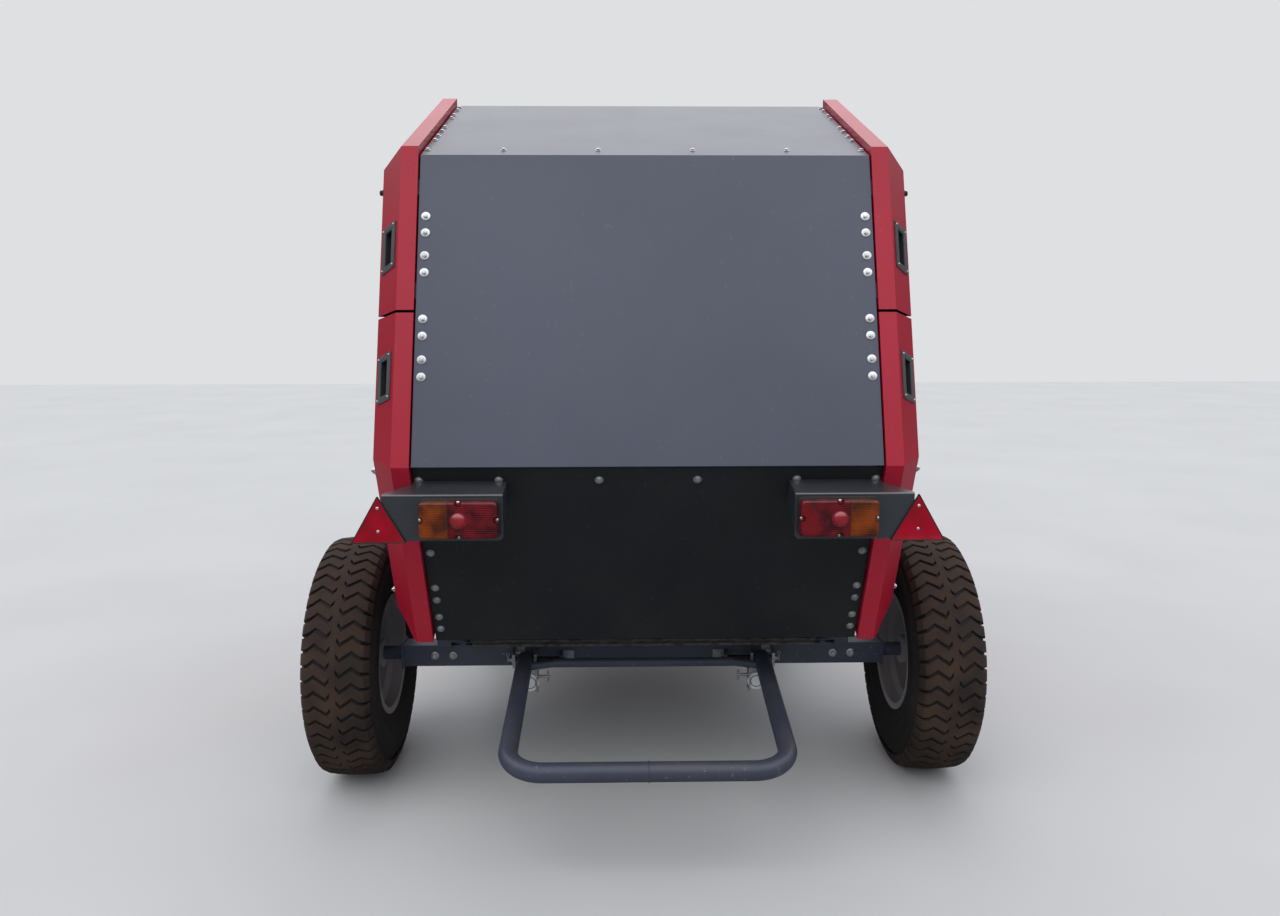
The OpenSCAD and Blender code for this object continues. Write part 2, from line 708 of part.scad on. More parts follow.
module jack_sleeve() {
    color(paint_red) row() translate([jack_x, jack_y, 0]) difference() {
        union() {
            translate([0, 0, sleeve_z[0]]) cylinder(h = sleeve_z[1] - sleeve_z[0], r = sleeve_d / 2);
            difference() {
                translate([0, -45, 680]) cube([-jack_x - beam_at_jack, 90, 70]);
                translate([-jack_x, -jack_y, 0]) mirror([1, 0, 0]) drawbar_beam();
            }
        }
        translate([0, 0, sleeve_z[0] - 1])
            cylinder(h = sleeve_z[1] - sleeve_z[0] - 12, r = jack_leg_d / 2 + run_gap);
        translate([0, 0, sleeve_z[1] - 20]) cylinder(h = 40, r = 10 + run_gap);
    }
}
module jack_leg() {
    color(zinc) row() translate([jack_x, jack_y, 0]) {
        translate([0, 0, foot_t]) cylinder(h = 560, r = jack_leg_d / 2);
        translate([-foot_w / 2, -foot_w / 2, 0]) cube([foot_w, foot_w, foot_t]);
    }
}
module jack_crank() {
    color(zinc) row() translate([jack_x, jack_y, 0]) {
        translate([0, 0, sleeve_z[1] - 16]) cylinder(h = 40, r = 10);
        translate([-150, -9, crank_z + 2]) cube([160, 18, 10]);
        translate([-140, 0, crank_z + 2]) cylinder(h = 100, r = 12);
    }
}

// Pickup.
module pickup_frame() {
    c = reel_pt;
    back = c.x - band_back - 30;
    color(paint_red) row() {
        both_sides() {
            difference() {
                union() {
                    along_x(pickup_in, pickup_in + pickup_plate_t) polygon([
                        [back, c.y + 240], [c.x + 40, c.y + 240], [c.x + 180, c.y + 170], [c.x + 240, c.y],
                        [c.x + 170, c.y - 170], [c.x + 60, c.y - 240], [back, c.y - 240]]);
                    x_cyl(pickup_in + pickup_plate_t, pickup_in + pickup_plate_t + 12, pickup_pivot, 34);
                    x_cyl(pickup_in + pickup_plate_t, pickup_in + pickup_plate_t + 14, reel_pt, 40);
                }
                x_cyl(pickup_in - 1, pickup_in + 60, pickup_pivot, pivot_pin_d / 2 + run_gap);
                x_cyl(pickup_in - 1, pickup_in + 60, reel_pt, reel_shaft_d / 2 + run_gap);
            }
            x_cyl(pickup_in, gauge_x + gauge_w + 10, gauge_pt, gauge_pin_d / 2);
        }
        for (z = [c.y + 60, c.y - band_r])
            box_at([-pickup_in, pickup_in], [back, back + 30], [z, z + 30]);
        // Rear plate that carries the upper ends of the bands.
        box_at([-band_half, band_half], [back + 26, back + 30], [c.y + 60, c.y + band_r]);
    }
}
module pickup_bands() {
    c = reel_pt;
    t = 3;
    back = band_back;
    band_w = tine_pitch - slot_w;
    color(zinc) row() for (i = [0:tine_n]) {
        x = (i - tine_n / 2) * tine_pitch;
        w = (i == 0 || i == tine_n) ? band_w / 2 - 4 : band_w;
        x0 = (i == 0) ? x + 4 : (i == tine_n ? x - 4 - w : x - w / 2);
        translate([x0, c.x, c.y]) rotate([90, 0, 90]) linear_extrude(w) difference() {
            union() {
                circle(r = band_r);
                translate([-back, -band_r]) square([back, 2 * band_r]);
            }
            circle(r = band_r - t);
            translate([-back - 1, -band_r + t]) square([back + 1, 2 * (band_r - t)]);
        }
    }
}
module windguard() {
    p = [reel_pt.x + 330, reel_pt.y + 222];
    color(paint_frame) row() {
        x_cyl(-pickup_in - 22, pickup_in + 22, p, 17);
        both_sides() along_x(pickup_in + pickup_plate_t + fit, pickup_in + pickup_plate_t + 8)
            polygon([[reel_pt.x - 70, reel_pt.y + 190], [reel_pt.x + 20, reel_pt.y + 150],
                [p.x + 10, p.y - 16], [p.x, p.y + 16]]);
        for (i = [0:11]) {
            x = (i - 5.5) * 122;
            knee = [x, reel_pt.x + 60, reel_pt.y + 326];
            rod([x, p.x, p.y], knee, 5.5);
            rod(knee + [0, 9, 0], knee - [0, 210, 0], 6.5);
        }
    }
}
module pickup_reel() {
    rows = tine_rows;
    color(steel) row() translate([0, reel_pt.x, reel_pt.y]) {
        x_cyl(-pickup_in - 12, pickup_in + 12, [0, 0], reel_shaft_d / 2);
        both_sides() x_cyl(pickup_in - 40, pickup_in - 34, [0, 0], tine_bar_r + 22);
        for (k = [0:rows - 1]) rotate([k * 360 / rows, 0, 0]) {
            x_cyl(-pickup_in + 38, pickup_in - 38, [tine_bar_r, 0], 14);
            for (i = [0:tine_n - 1]) {
                x = (i - (tine_n - 1) / 2) * tine_pitch;
                translate([x, tine_bar_r, 0]) rotate([-90, 0, 0])
                    cylinder(h = tine_tip_r - tine_bar_r, r = tine_d / 2, $fn = 6);
            }
        }
    }
}
module gauge_wheel(side) {
    r = gauge_d / 2;
    hub = gauge_pin_d / 2 + run_gap;
    w = gauge_w / 2;
    color(rubber) row() on_side(side)
        translate([gauge_x + w, gauge_pt.x, gauge_pt.y]) rotate([0, 90, 0])
            rotate_extrude($fn = 72) polygon([
                [hub, -w], [hub + 18, -w], [hub + 22, -8], [r - 62, -8], [r - 56, -w + 10], [r - 14, -w + 4],
                [r - 3, -w / 2], [r, 0], [r - 3, w / 2], [r - 14, w - 4], [r - 56, w - 10],
                [r - 62, 8], [hub + 22, 8], [hub + 18, w], [hub, w]]);
}
module gauge_wheel_left() { gauge_wheel(-1); }
module gauge_wheel_right() { gauge_wheel(1); }

// Tailgate.
module gate_walls() {
    p = gate_wall_outline(sheet_t + coat, gate_floor);
    color(paint_frame) row() difference() {
        union() {
            both_sides() {
                difference() {
                    union() {
                        along_x(wall_in, wall_out) polygon(p);
                        channel(p);
                    }
                    x_cyl(wall_in - 1, tube_out + 1, hinge_pt, hinge_ear_r + 19);
                    box_at([wall_in - 1, tube_out + 1], [hinge_pt.x - 20, hinge_pt.x + 80],
                        [hinge_pt.y, hinge_pt.y + 80]);
                }
                along_x(tube_out + 2, tube_out + 14) hinge_lug();
                along_x(wall_out, tube_out + 14) difference() {
                    hinge_lug();
                    translate(hinge_pt) circle(r = hinge_ear_r + 20);
                }
                bearings(gate_roller_angles);
                x_cyl(wall_out, cyl_x - eye_w / 2 - 4, cyl_head, 30);
                for (t = [0.14, 0.8]) shield_stay(0, t);
                for (t = [0.08, 0.42]) shield_stay(1, t);
            }
            // Cross tubes behind the corners of the outline, and one along the lower edge.
            along_x(-wall_in, wall_in) gate_corner(0, 46);
            along_x(-wall_in, wall_in) gate_corner(1, 40);
            box_at([-wall_in, wall_in], [gate_pts[3].x + 20, gate_pts[3].x + 60], [620, 660]);
        }
        both_sides() {
            bearing_bores(gate_roller_angles);
            x_cyl(tube_out - 1, tube_out + 20, hinge_pt, hinge_pin_d / 2 + run_gap);
        }
    }
}
module hinge_lug() {
    polygon(concat(
        [for (i = [0:5]) hinge_pt + 24 * [cos(45 - i * 30), sin(45 - i * 30)]],
        [hinge_pt + [-152, -85], hinge_pt + [-132, -40]]));
}
// A stay from the wall to the upper shield's return, a share t along an edge.
function edge_pt(i, t, d) = gate_edge(i, d)[0] + t * (gate_pts[i + 1] - gate_pts[i]);
module shield_stay(i, t) {
    e = t + 0.05;
    low = return_d - 2;
    along_x(wall_out - 1, strip_in)
        polygon([edge_pt(i, t, 8), edge_pt(i, e, 8), edge_pt(i, e, low), edge_pt(i, t, low)]);
}
module gate_corner(i, w) {
    d = sheet_t + coat;
    polygon([
        meet(gate_edge(i, d), gate_edge(i + 1, d + i * lower_step)),
        meet(gate_edge(i, d), gate_edge(i + 1, d + w)),
        meet(gate_edge(i, d + w), gate_edge(i + 1, d + w)),
        meet(gate_edge(i, d + w), gate_edge(i + 1, d + i * lower_step))]);
}
function end_line(p, q) = [p, p + left_of(p, q)];
module gate_roof_panel() {
    a = gate_pts[0];
    color(paint_grey) row() sheet(
        [a, gate_pts[1]],
        [meet(gate_edge(0, sheet_t), gate_edge(1, sheet_t)),
         meet(gate_edge(0, sheet_t), end_line(a, gate_pts[1]))], panel_w);
}
module gate_main_panel() {
    hem = meet(gate_edge(1, 0), level(gate_pts[2].y));
    color(paint_grey) row() sheet(
        [gate_pts[1], hem],
        [meet(gate_edge(1, sheet_t), level(hem.y)), meet(gate_edge(0, sheet_t), gate_edge(1, sheet_t))],
        panel_w);
}
module gate_lower_panel() {
    o = gate_edge(2, lower_step);
    n = gate_edge(2, lower_step + sheet_t);
    color(paint_grey) row() sheet(
        [meet(o, level(gate_pts[2].y - 6)), meet(o, level(gate_pts[3].y))],
        [meet(n, level(gate_pts[3].y)), meet(n, level(gate_pts[2].y - 6))], panel_w);
}

// A tray with a flat strip, bevels, an outer face and a return behind the strip's inner edge.
module tray(strip, outer, strip_i, outer_i, strip_r) {
    difference() {
        union() {
            hull() {
                along_x(strip_out - 1, strip_out) polygon(strip);
                along_x(shield_out - 1, shield_out) polygon(outer);
            }
            along_x(strip_in, strip_out) polygon(strip);
        }
        hull() {
            along_x(strip_out - 2, strip_out - 0.5) polygon(strip_i);
            along_x(shield_out - sheet_t - 1, shield_out - sheet_t) polygon(outer_i);
        }
        along_x(strip_in + sheet_t, strip_out) polygon(strip_i);
        along_x(strip_in - 1, strip_out) polygon(strip_r);
    }
}
// The grip opening through the rear bevel at a height.
module grip_cut(z) {
    e = shield_edges(0, bevel_in / 2);
    p = meet(e[1], level(z));
    lean = atan2(gate_pts[1].x - gate_pts[2].x, gate_pts[1].y - gate_pts[2].y);
    translate([strip_out + bevel_w / 2, p.x, p.y]) rotate([-lean, 0, 0])
        rotate([0, 0, atan2(bevel_in, bevel_w)])
            cube([grip_w, 30, grip_l], center = true);
}
grip_z = [1870, 1482];
module shield_upper(side) {
    z = shield_seam_z + 4;
    s = upper_outline(shield_edges(0, 0), z);
    o = upper_outline(shield_edges(bevel_top, bevel_in), z - seam_fall);
    si = upper_outline(shield_edges(sheet_t, sheet_t), z - 1);
    oi = upper_outline(shield_edges(bevel_top + 2, bevel_in + 2), z - seam_fall - 1);
    sr = upper_outline(return_edges(), z - 1);
    color(paint_red) row() on_side(side) {
        difference() {
            tray(s, o, open_front(si), open_front(oi), open_front(sr));
            grip_cut(grip_z[0]);
        }
        // Hinge pins of the lower shield, on brackets under the outer face.
        for (y = wing_hinge_y) {
            box_at([shield_out - sheet_t, wing_axis.x + 5], [y - 34, y - 24], [z + 1, z + 26]);
            box_at([shield_out + 3, wing_axis.x + 5], [y - 34, y - 24], [wing_axis.y - 5, z + 2]);
            translate([wing_axis.x, y - 34, wing_axis.y]) rotate([-90, 0, 0])
                cylinder(h = 64, r = wing_pin_d / 2);
        }
    }
}
module shield_lower(side) {
    z = shield_seam_z - 4;
    s = lower_outline(shield_edges(0, 0), z);
    o = lower_outline(shield_edges(bevel_top, bevel_in), z - seam_fall);
    si = lower_outline(shield_edges(sheet_t, sheet_t), z + 1);
    oi = lower_outline(shield_edges(bevel_top + 2, bevel_in + 2), z - seam_fall + 1);
    sr = lower_outline(return_edges(), z + 1);
    leaf_z = z - seam_fall - 20;
    color(paint_red) row() on_side(side) {
        difference() {
            tray(s, o, open_front(si), open_front(oi), open_front(sr));
            grip_cut(grip_z[1]);
            x_cyl(strip_in - 10, shield_out + 10, [0, axle_z], axle_z + 32);
        }
        // Knuckles on the hinge pins.
        for (y = wing_hinge_y) difference() {
            union() {
                translate([wing_axis.x, y - 22, wing_axis.y]) rotate([-90, 0, 0]) cylinder(h = 48, r = 9);
                box_at([shield_out - sheet_t, wing_axis.x], [y - 22, y + 26], [leaf_z, z - seam_fall - 1]);
                box_at([shield_out + 5, wing_axis.x], [y - 22, y + 26], [leaf_z, wing_axis.y - 4]);
            }
            translate([wing_axis.x, y - 23, wing_axis.y]) rotate([-90, 0, 0])
                cylinder(h = 50, r = wing_pin_d / 2 + run_gap);
        }
    }
}
module shield_upper_left() { shield_upper(-1); }
module shield_upper_right() { shield_upper(1); }
module shield_lower_left() { shield_lower(-1); }
module shield_lower_right() { shield_lower(1); }

module front_door(side) {
    s = door_outline(door_edges(0, 0), door_z);
    o = door_outline(door_edges(bevel_top, bevel_in), door_z);
    si = door_outline(door_edges(sheet_t, sheet_t), door_z - 1);
    oi = door_outline(door_edges(bevel_top + 2, bevel_in + 2), door_z - 1);
    sr = door_outline(door_edges(proud_top + return_d, return_d), door_z - 1);
    nose_y = nose_pts[0].x;
    color(paint_red) row() on_side(side) {
        tray(s, o, open_back(si), open_back(oi), open_back(sr));
        for (z = door_hinge_z) difference() {
            union() {
                translate([door_axis.x, door_axis.y, z - 20]) cylinder(h = 48, r = 13);
                translate([door_axis.x - 6, nose_y - 1, z - 20]) cube([12, door_axis.y - nose_y + 1, 48]);
            }
            translate([door_axis.x, door_axis.y, z - 21]) cylinder(h = 50, r = door_pin_d / 2 + run_gap);
        }
    }
}
module front_door_left() { front_door(-1); }
module front_door_right() { front_door(1); }

// Lamps on the tailgate.
module lamp_brackets() {
    y = lamp_face_y;
    root = meet(gate_edge(2, lower_step), level(bracket_root_z));
    // Where the top flange passes behind the shield's strip.
    clear_y = meet(shield_edges(0, 0)[2], level(bracket_root_z)).x - 8;
    color(paint_frame) row() both_sides() {
        difference() {
            along_x(bracket_x[0], bracket_x[1]) polygon([
                [y, bracket_z[1] - 1], [y, bracket_z[1]], root, root - [0, sheet_t],
                [y + sheet_t, bracket_z[1] - sheet_t], [y + sheet_t, bracket_z[1] - sheet_t - 1]]);
            translate([0, 0, bracket_z[1] - 10]) linear_extrude(60) polygon([
                [half - 1, root.x + 20], [half - 1, clear_y], [bracket_x[1] + 1, y + sheet_t + 6],
                [bracket_x[1] + 1, root.x + 20]]);
        }
        // The face has a rounded corner towards the middle of the machine.
        translate([0, y + sheet_t, 0]) rotate([90, 0, 0]) linear_extrude(sheet_t) {
            translate([bracket_x[0], bracket_z[0] + bracket_corner])
                square([bracket_x[1] - bracket_x[0], bracket_z[1] - bracket_z[0] - bracket_corner]);
            translate([bracket_x[0] + bracket_corner, bracket_z[0]])
                square([bracket_x[1] - bracket_x[0] - bracket_corner, bracket_corner + 1]);
            translate([bracket_x[0], bracket_z[0]] + bracket_corner * [1, 1]) circle(r = bracket_corner);
        }
        along_x(bracket_x[0], bracket_x[0] + sheet_t) polygon([
            [y + 1, bracket_z[1] - 1], root, meet(gate_edge(2, lower_step), level(bracket_root_z - 70)),
            [y + 1, bracket_z[0] + bracket_corner + 4]]);
    }
}
// A rectangle with round corners.
module soft_rect(w, h, r) {
    square([w - 2 * r, h], center = true);
    square([w, h - 2 * r], center = true);
    for (x = [-1, 1], z = [-1, 1]) translate([x * (w / 2 - r), z * (h / 2 - r)]) circle(r = r);
}
module tail_lamps() {
    foot = 16;
    color("firebrick") row() both_sides() translate([lamp_x, lamp_face_y, lamp_z]) rotate([90, 0, 0]) {
        linear_extrude(foot) soft_rect(lamp_w, lamp_h, lens_corner);
        linear_extrude(lamp_depth) soft_rect(lamp_w - 8, lamp_h - 8, lens_corner - 3);
        cylinder(h = lamp_depth + dome_h / 2, r = 26);
        translate([0, 0, lamp_depth + dome_h / 2]) cylinder(h = dome_h / 2, r1 = 26, r2 = 14);
    }
}
module reflector_triangles() {
    y = lamp_face_y;
    s = triangle_side;
    color("red") row() both_sides() translate([triangle_x, y, triangle_z]) rotate([90, 0, 0])
        linear_extrude(reflector_t) polygon([[-s / 2, 0], [s / 2, 0], [0, s * sin(60)]]);
}

// Bale ramp.
module ramp_brackets() {
    a = axle_tube / 2;
    hang_x = ramp_half - 34;
    ear_r = 22;
    color(zinc) row() both_sides() {
        for (x = ramp_ear_x) difference() {
            along_x(x, x + 10) polygon([
                [-a, axle_z + 34], [-a, axle_z - 38], [ramp_pivot.x - ear_r, axle_z - 28],
                [ramp_pivot.x - ear_r, axle_z + 22]]);
            x_cyl(x - 1, x + 11, ramp_pivot, ramp_pin_d / 2 + fit);
        }
        // Plate that hangs under the axle, with a round disc on it.
        box_at([hang_x - 6, hang_x], [-34, 20], [axle_z - a - 108, axle_z - a]);
        box_at([hang_x - 1, hang_x + 44], [-26, -20], [axle_z - a - 104, axle_z - a]);
        translate([hang_x + 22, -25, axle_z - a - 70]) rotate([90, 0, 0]) cylinder(h = 6, r = 33);
        x_cyl(hang_x - 52, hang_x - 5, [-14, axle_z - a - 52], 5);
        translate([hang_x - 44, -14, axle_z - a - 72]) cylinder(h = 40, r = 4);
    }
}
module ramp() {
    r = ramp_d / 2;
    b = ramp_bend;
    l = ramp_reach - b;
    color(paint_frame) row() translate([0, ramp_pivot.x, ramp_pivot.y]) rotate([ramp_fall, 0, 0]) {
        both_sides() {
            translate([ramp_half, 0, 0]) rotate([90, 0, 0]) cylinder(h = l, r = r);
            x_cyl(ramp_half - r - 12, ramp_half + r + 12, [0, 0], ramp_pin_d / 2);
            translate([ramp_half - b, -l, 0]) rotate([0, 0, -90]) rotate_extrude(angle = 90)
                translate([b, 0]) circle(r = r);
        }
        x_cyl(-ramp_half + b, ramp_half - b, [-ramp_reach, 0], r);
        // Upper cross tube with thinner ends that lean back to the arms.
        x_cyl(-ramp_half + 110, ramp_half - 110, [-46, 10], 16);
        both_sides() rod([ramp_half - 116, -46, 10], [ramp_half, -60, 0], 14);
    }
}

// Tailgate cylinders.
module cylinder_barrel(side) {
    color(paint_frame) row() on_side(side) {
        translate([cyl_x, cyl_foot.x, cyl_foot.y]) rotate([-cyl_tilt, 0, 0]) {
            difference() {
                union() {
                    cylinder(h = 60, r = eye_w / 2 - 2);
                    translate([0, 0, 44]) cylinder(h = barrel_len - 20, r = barrel_d / 2);
                    rotate([0, 90, 0]) cylinder(h = eye_w, r = eye_od / 2, center = true);
                }
                rotate([0, 90, 0]) cylinder(h = eye_w + 30, r = 15 + run_gap, center = true);
                translate([0, 0, 80]) cylinder(h = barrel_len, r = rod_d / 2 + run_gap);
            }
        }
    }
}
module cylinder_rod(side) {
    color(zinc) row() on_side(side) {
        translate([cyl_x, cyl_foot.x, cyl_foot.y]) rotate([-cyl_tilt, 0, 0]) {
            translate([0, 0, 200]) cylinder(h = cyl_len - 220, r = rod_d / 2);
            translate([0, 0, cyl_len]) rotate([0, 90, 0]) cylinder(h = eye_w, r = 27, center = true);
            translate([eye_w / 2 - 1, 0, cyl_len]) rotate([0, 90, 0]) cylinder(h = 9, r = 15);
        }
    }
}
module cylinder_barrel_left() { cylinder_barrel(-1); }
module cylinder_barrel_right() { cylinder_barrel(1); }
module cylinder_rod_left() { cylinder_rod(-1); }
module cylinder_rod_right() { cylinder_rod(1); }

axle();
chassis_frame();
front_walls();
front_cover();
front_rollers();
ramp_brackets();
twine_box();
gearbox();
pto_shaft();
pto_guard();
drawbar();
towing_eye();
jack_sleeve();
twine_lid();
jack_leg();
jack_crank();
tyre_left();
tyre_right();
rim_left();
rim_right();
pickup_frame();
pickup_bands();
windguard();
pickup_reel();
gauge_wheel_left();
gauge_wheel_right();
front_door_left();
front_door_right();
gate_walls();
gate_roof_panel();
gate_main_panel();
gate_lower_panel();
gate_rollers();
shield_upper_left();
shield_upper_right();
lamp_brackets();
tail_lamps();
reflector_triangles();
shield_lower_left();
shield_lower_right();
ramp();
cylinder_barrel_left();
cylinder_barrel_right();
cylinder_rod_left();
cylinder_rod_right();
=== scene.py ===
"""Towed round baler seen from behind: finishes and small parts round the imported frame, in metres."""
import json
import logging
import math
from dataclasses import dataclass
from enum import Enum
from typing import Callable, Iterable, Sequence

import bmesh
import bpy
from mathutils import Matrix, Vector


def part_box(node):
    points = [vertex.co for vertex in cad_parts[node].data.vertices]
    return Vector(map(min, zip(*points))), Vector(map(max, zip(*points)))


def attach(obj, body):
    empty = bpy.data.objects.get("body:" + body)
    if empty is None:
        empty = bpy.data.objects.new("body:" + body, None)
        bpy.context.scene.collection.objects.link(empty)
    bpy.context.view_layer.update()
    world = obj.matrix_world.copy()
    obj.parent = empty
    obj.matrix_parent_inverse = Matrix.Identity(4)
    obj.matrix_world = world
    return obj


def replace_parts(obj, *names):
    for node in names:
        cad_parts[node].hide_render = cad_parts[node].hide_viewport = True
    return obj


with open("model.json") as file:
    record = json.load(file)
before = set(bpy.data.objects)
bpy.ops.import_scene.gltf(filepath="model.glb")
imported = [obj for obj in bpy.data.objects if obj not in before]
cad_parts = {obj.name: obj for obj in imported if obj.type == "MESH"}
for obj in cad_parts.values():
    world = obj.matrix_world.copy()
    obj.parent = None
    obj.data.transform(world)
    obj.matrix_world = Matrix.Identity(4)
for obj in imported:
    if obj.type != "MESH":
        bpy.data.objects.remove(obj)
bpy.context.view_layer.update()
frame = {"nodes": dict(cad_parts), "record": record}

LOG = logging.getLogger("baler")
TURN = 2 * math.pi
NEAR = 1e-6  # shorter than this counts as nothing
CAD_GAP = 2e-5  # points of a CAD mesh closer than this are one
CAD_FLAT = 0.4  # CAD faces that meet below this angle in degrees are one
FOLDS = (12.0, 70.0)  # degrees between the faces of a folded sheet's bend
CORNERS = (70.0, 120.0)  # degrees between the faces at a cut edge
SHEET_SMOOTH = 25.0  # degrees shaded smooth on sheets and lenses
RIGHT = Vector((1, 0, 0))
AHEAD = Vector((0, 1, 0))
UP = Vector((0, 0, 1))
Colour = tuple[float, float, float]
Test = Callable[[Vector, Vector], bool]
Pair = tuple[float, float]


# Places read from the frame.


def middle(node: str) -> Vector:
    """Gives the centre of a node's box."""
    low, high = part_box(node)
    return (low + high) / 2


AXLE = middle("rim_right")
AXLE.x = 0.0
AXLE_HALF = 0.040


def at(x: float, ahead: float, z: float) -> Vector:
    """Gives a place from x, its distance ahead of the wheel axle and its height above ground."""
    return Vector((x, AXLE.y + ahead, z))


# Modelling bench.


class Pick(Enum):
    """What an edit-mode selection is made of."""

    POINT = "VERT"
    EDGE = "EDGE"
    FACE = "FACE"


def looks_up(centre: Vector, normal: Vector) -> bool:
    """Says whether a face looks along Z."""
    return normal.z > 0.9


def runs_up(centre: Vector, along: Vector) -> bool:
    """Says whether an edge runs along Z."""
    return abs(along.z) > 0.9


def release() -> None:
    """Leaves edit mode and deselects every object."""
    if bpy.context.object is not None and bpy.context.object.mode != "OBJECT":
        bpy.ops.object.mode_set(mode="OBJECT")
    bpy.ops.object.select_all(action="DESELECT")


class Work:
    """One mesh on the bench, shaped with the edit-mode operators."""

    def __init__(self, obj: bpy.types.Object) -> None:
        """Takes a mesh object onto the bench."""
        self.obj = obj

    @classmethod
    def box(cls, size: Sequence[float], place: Sequence[float] = (0, 0, 0)) -> "Work":
        """Starts from a block.

        Args:
            size: its three sides.
            place: its centre.

        Returns:
            The new work.
        """
        release()
        bpy.ops.mesh.primitive_cube_add(size=1.0, location=place)
        bpy.context.object.scale = size
        return cls(bpy.context.object).settle()

    @classmethod
    def disc(cls, radius: float, height: float, sides: int, place: Sequence[float] = (0, 0, 0)) -> "Work":
        """Starts from an upright cylinder.

        Args:
            radius: its radius.
            height: its height.
            sides: how many sides it has.
            place: its centre.

        Returns:
            The new work.
        """
        release()
        bpy.ops.mesh.primitive_cylinder_add(radius=radius, depth=height, vertices=sides, location=place)
        return cls(bpy.context.object).settle()

    @classmethod
    def line(cls, points: Sequence[Sequence[float]]) -> "Work":
        """Starts from a bare line drawn point by point.

        Args:
            points: the line's points.

        Returns:
            The new work, an open line of edges.
        """
        release()
        bpy.ops.mesh.primitive_plane_add(size=0.01)
        bpy.ops.object.mode_set(mode="EDIT")
        bpy.ops.mesh.select_mode(type="VERT")
        bpy.ops.mesh.merge(type="CENTER")
        bpy.ops.transform.translate(value=points[0])
        for a, b in zip(points, points[1:]):
            step = Vector(b) - Vector(a)
            bpy.ops.mesh.extrude_vertices_move(TRANSFORM_OT_translate={"value": step})
        return cls(bpy.context.object)

    @classmethod
    def lathe(cls, outline: Sequence[Pair], steps: int) -> "Work":
        """Turns an outline about the Z axis.

        Args:
            outline: pairs of radius and height, from one end to the other.
            steps: how many steps the turn takes.

        Returns:
            The new work, closed where the outline starts and ends on the axis or on itself.
        """
        work = cls.line([(r, 0.0, z) for r, z in outline])
        bpy.ops.mesh.select_all(action="SELECT")
        bpy.ops.mesh.spin(steps=steps, angle=TURN, center=(0, 0, 0), axis=(0, 0, 1))
        return work.heal(NEAR)

    @classmethod
    def tube(cls, points: Sequence[Sequence[float]], radius: float, sides: int = 16) -> "Work":
        """Bends a closed round bar along a path.

        Args:
            points: the path's points.
            radius: the bar's radius.
            sides: sides of its section.

        Returns:
            The new work.
        """
        release()
        curve = bpy.data.curves.new("path", "CURVE")
        curve.dimensions = "3D"
        curve.bevel_depth = radius
        curve.bevel_resolution = max(sides // 4 - 1, 0)
        curve.use_fill_caps = True
        spline = curve.splines.new("POLY")
        spline.points.add(len(points) - 1)
        for knot, point in zip(spline.points, points):
            knot.co = (*point, 1.0)
        obj = bpy.data.objects.new("bar", curve)
        bpy.context.scene.collection.objects.link(obj)
        cls(obj).hold()
        bpy.ops.object.convert(target="MESH")
        return cls(bpy.context.object).heal(NEAR)

    @classmethod
    def node(cls, name: str) -> "Work":
        """Starts from a merged copy of a CAD node's mesh.

        Args:
            name: the node's name.

        Returns:
            The new work, with flat faces joined.
        """
        release()
        obj = bpy.data.objects.new(name + "_copy", frame["nodes"][name].data.copy())
        obj.data.materials.clear()
        bpy.context.scene.collection.objects.link(obj)
        work = cls(obj).heal(CAD_GAP, outside=False).pick_all()
        bpy.ops.mesh.dissolve_limited(angle_limit=math.radians(CAD_FLAT))
        bpy.ops.object.mode_set(mode="OBJECT")
        return work

    def settle(self) -> "Work":
        """Puts the object's place, turn and size into its mesh.

        Returns:
            This work.
        """
        self.hold()
        bpy.ops.object.transform_apply(location=True, rotation=True, scale=True)
        return self

    def hold(self) -> "Work":
        """Makes this the only selected and the active object.

        Returns:
            This work.
        """
        release()
        self.obj.select_set(True)
        bpy.context.view_layer.objects.active = self.obj
        return self

    def edit(self, mode: Pick = Pick.FACE) -> "Work":
        """Opens the mesh in edit mode.

        Args:
            mode: what a selection there is made of.

        Returns:
            This work.
        """
        self.hold()
        bpy.ops.object.mode_set(mode="EDIT")
        bpy.ops.mesh.select_mode(type=mode.value)
        return self

    def pick(self, test: Test, mode: Pick = Pick.FACE) -> "Work":
        """Selects what passes a test, by place and direction.

        Args:
            test: takes a centre and a normal (an edge's direction), and says whether it is wanted.
            mode: what is selected.

        Returns:
            This work, in edit mode.
        """
        self.edit(mode)
        bpy.ops.mesh.select_all(action="DESELECT")
        mesh = bmesh.from_edit_mesh(self.obj.data)
        if mode is Pick.POINT:
            for v in mesh.verts:
                v.select_set(test(v.co, v.normal))
        elif mode is Pick.EDGE:
            for e in mesh.edges:
                a, b = e.verts[0].co, e.verts[1].co
                e.select_set(test((a + b) / 2, (b - a).normalized()))
        else:
            for f in mesh.faces:
                f.select_set(test(f.calc_center_median(), f.normal))
        mesh.select_flush_mode()
        bmesh.update_edit_mesh(self.obj.data)
        return self

    def pick_all(self, mode: Pick = Pick.FACE) -> "Work":
        """Selects the whole mesh.

        Args:
            mode: what is selected.

        Returns:
            This work, in edit mode.
        """
        self.edit(mode)
        bpy.ops.mesh.select_all(action="SELECT")
        return self

    def pick_folds(self, low: float, high: float) -> "Work":
        """Selects the outward edges whose two faces meet at an angle in a range.

        Args:
            low: smallest angle in degrees.
            high: largest angle in degrees.

        Returns:
            This work, in edit mode.
        """
        self.edit(Pick.EDGE)
        bpy.ops.mesh.select_all(action="DESELECT")
        mesh = bmesh.from_edit_mesh(self.obj.data)
        for e in mesh.edges:
            angle = math.degrees(e.calc_face_angle(0.0))
            e.select_set(low < angle < high)
        mesh.select_flush_mode()
        bmesh.update_edit_mesh(self.obj.data)
        return self

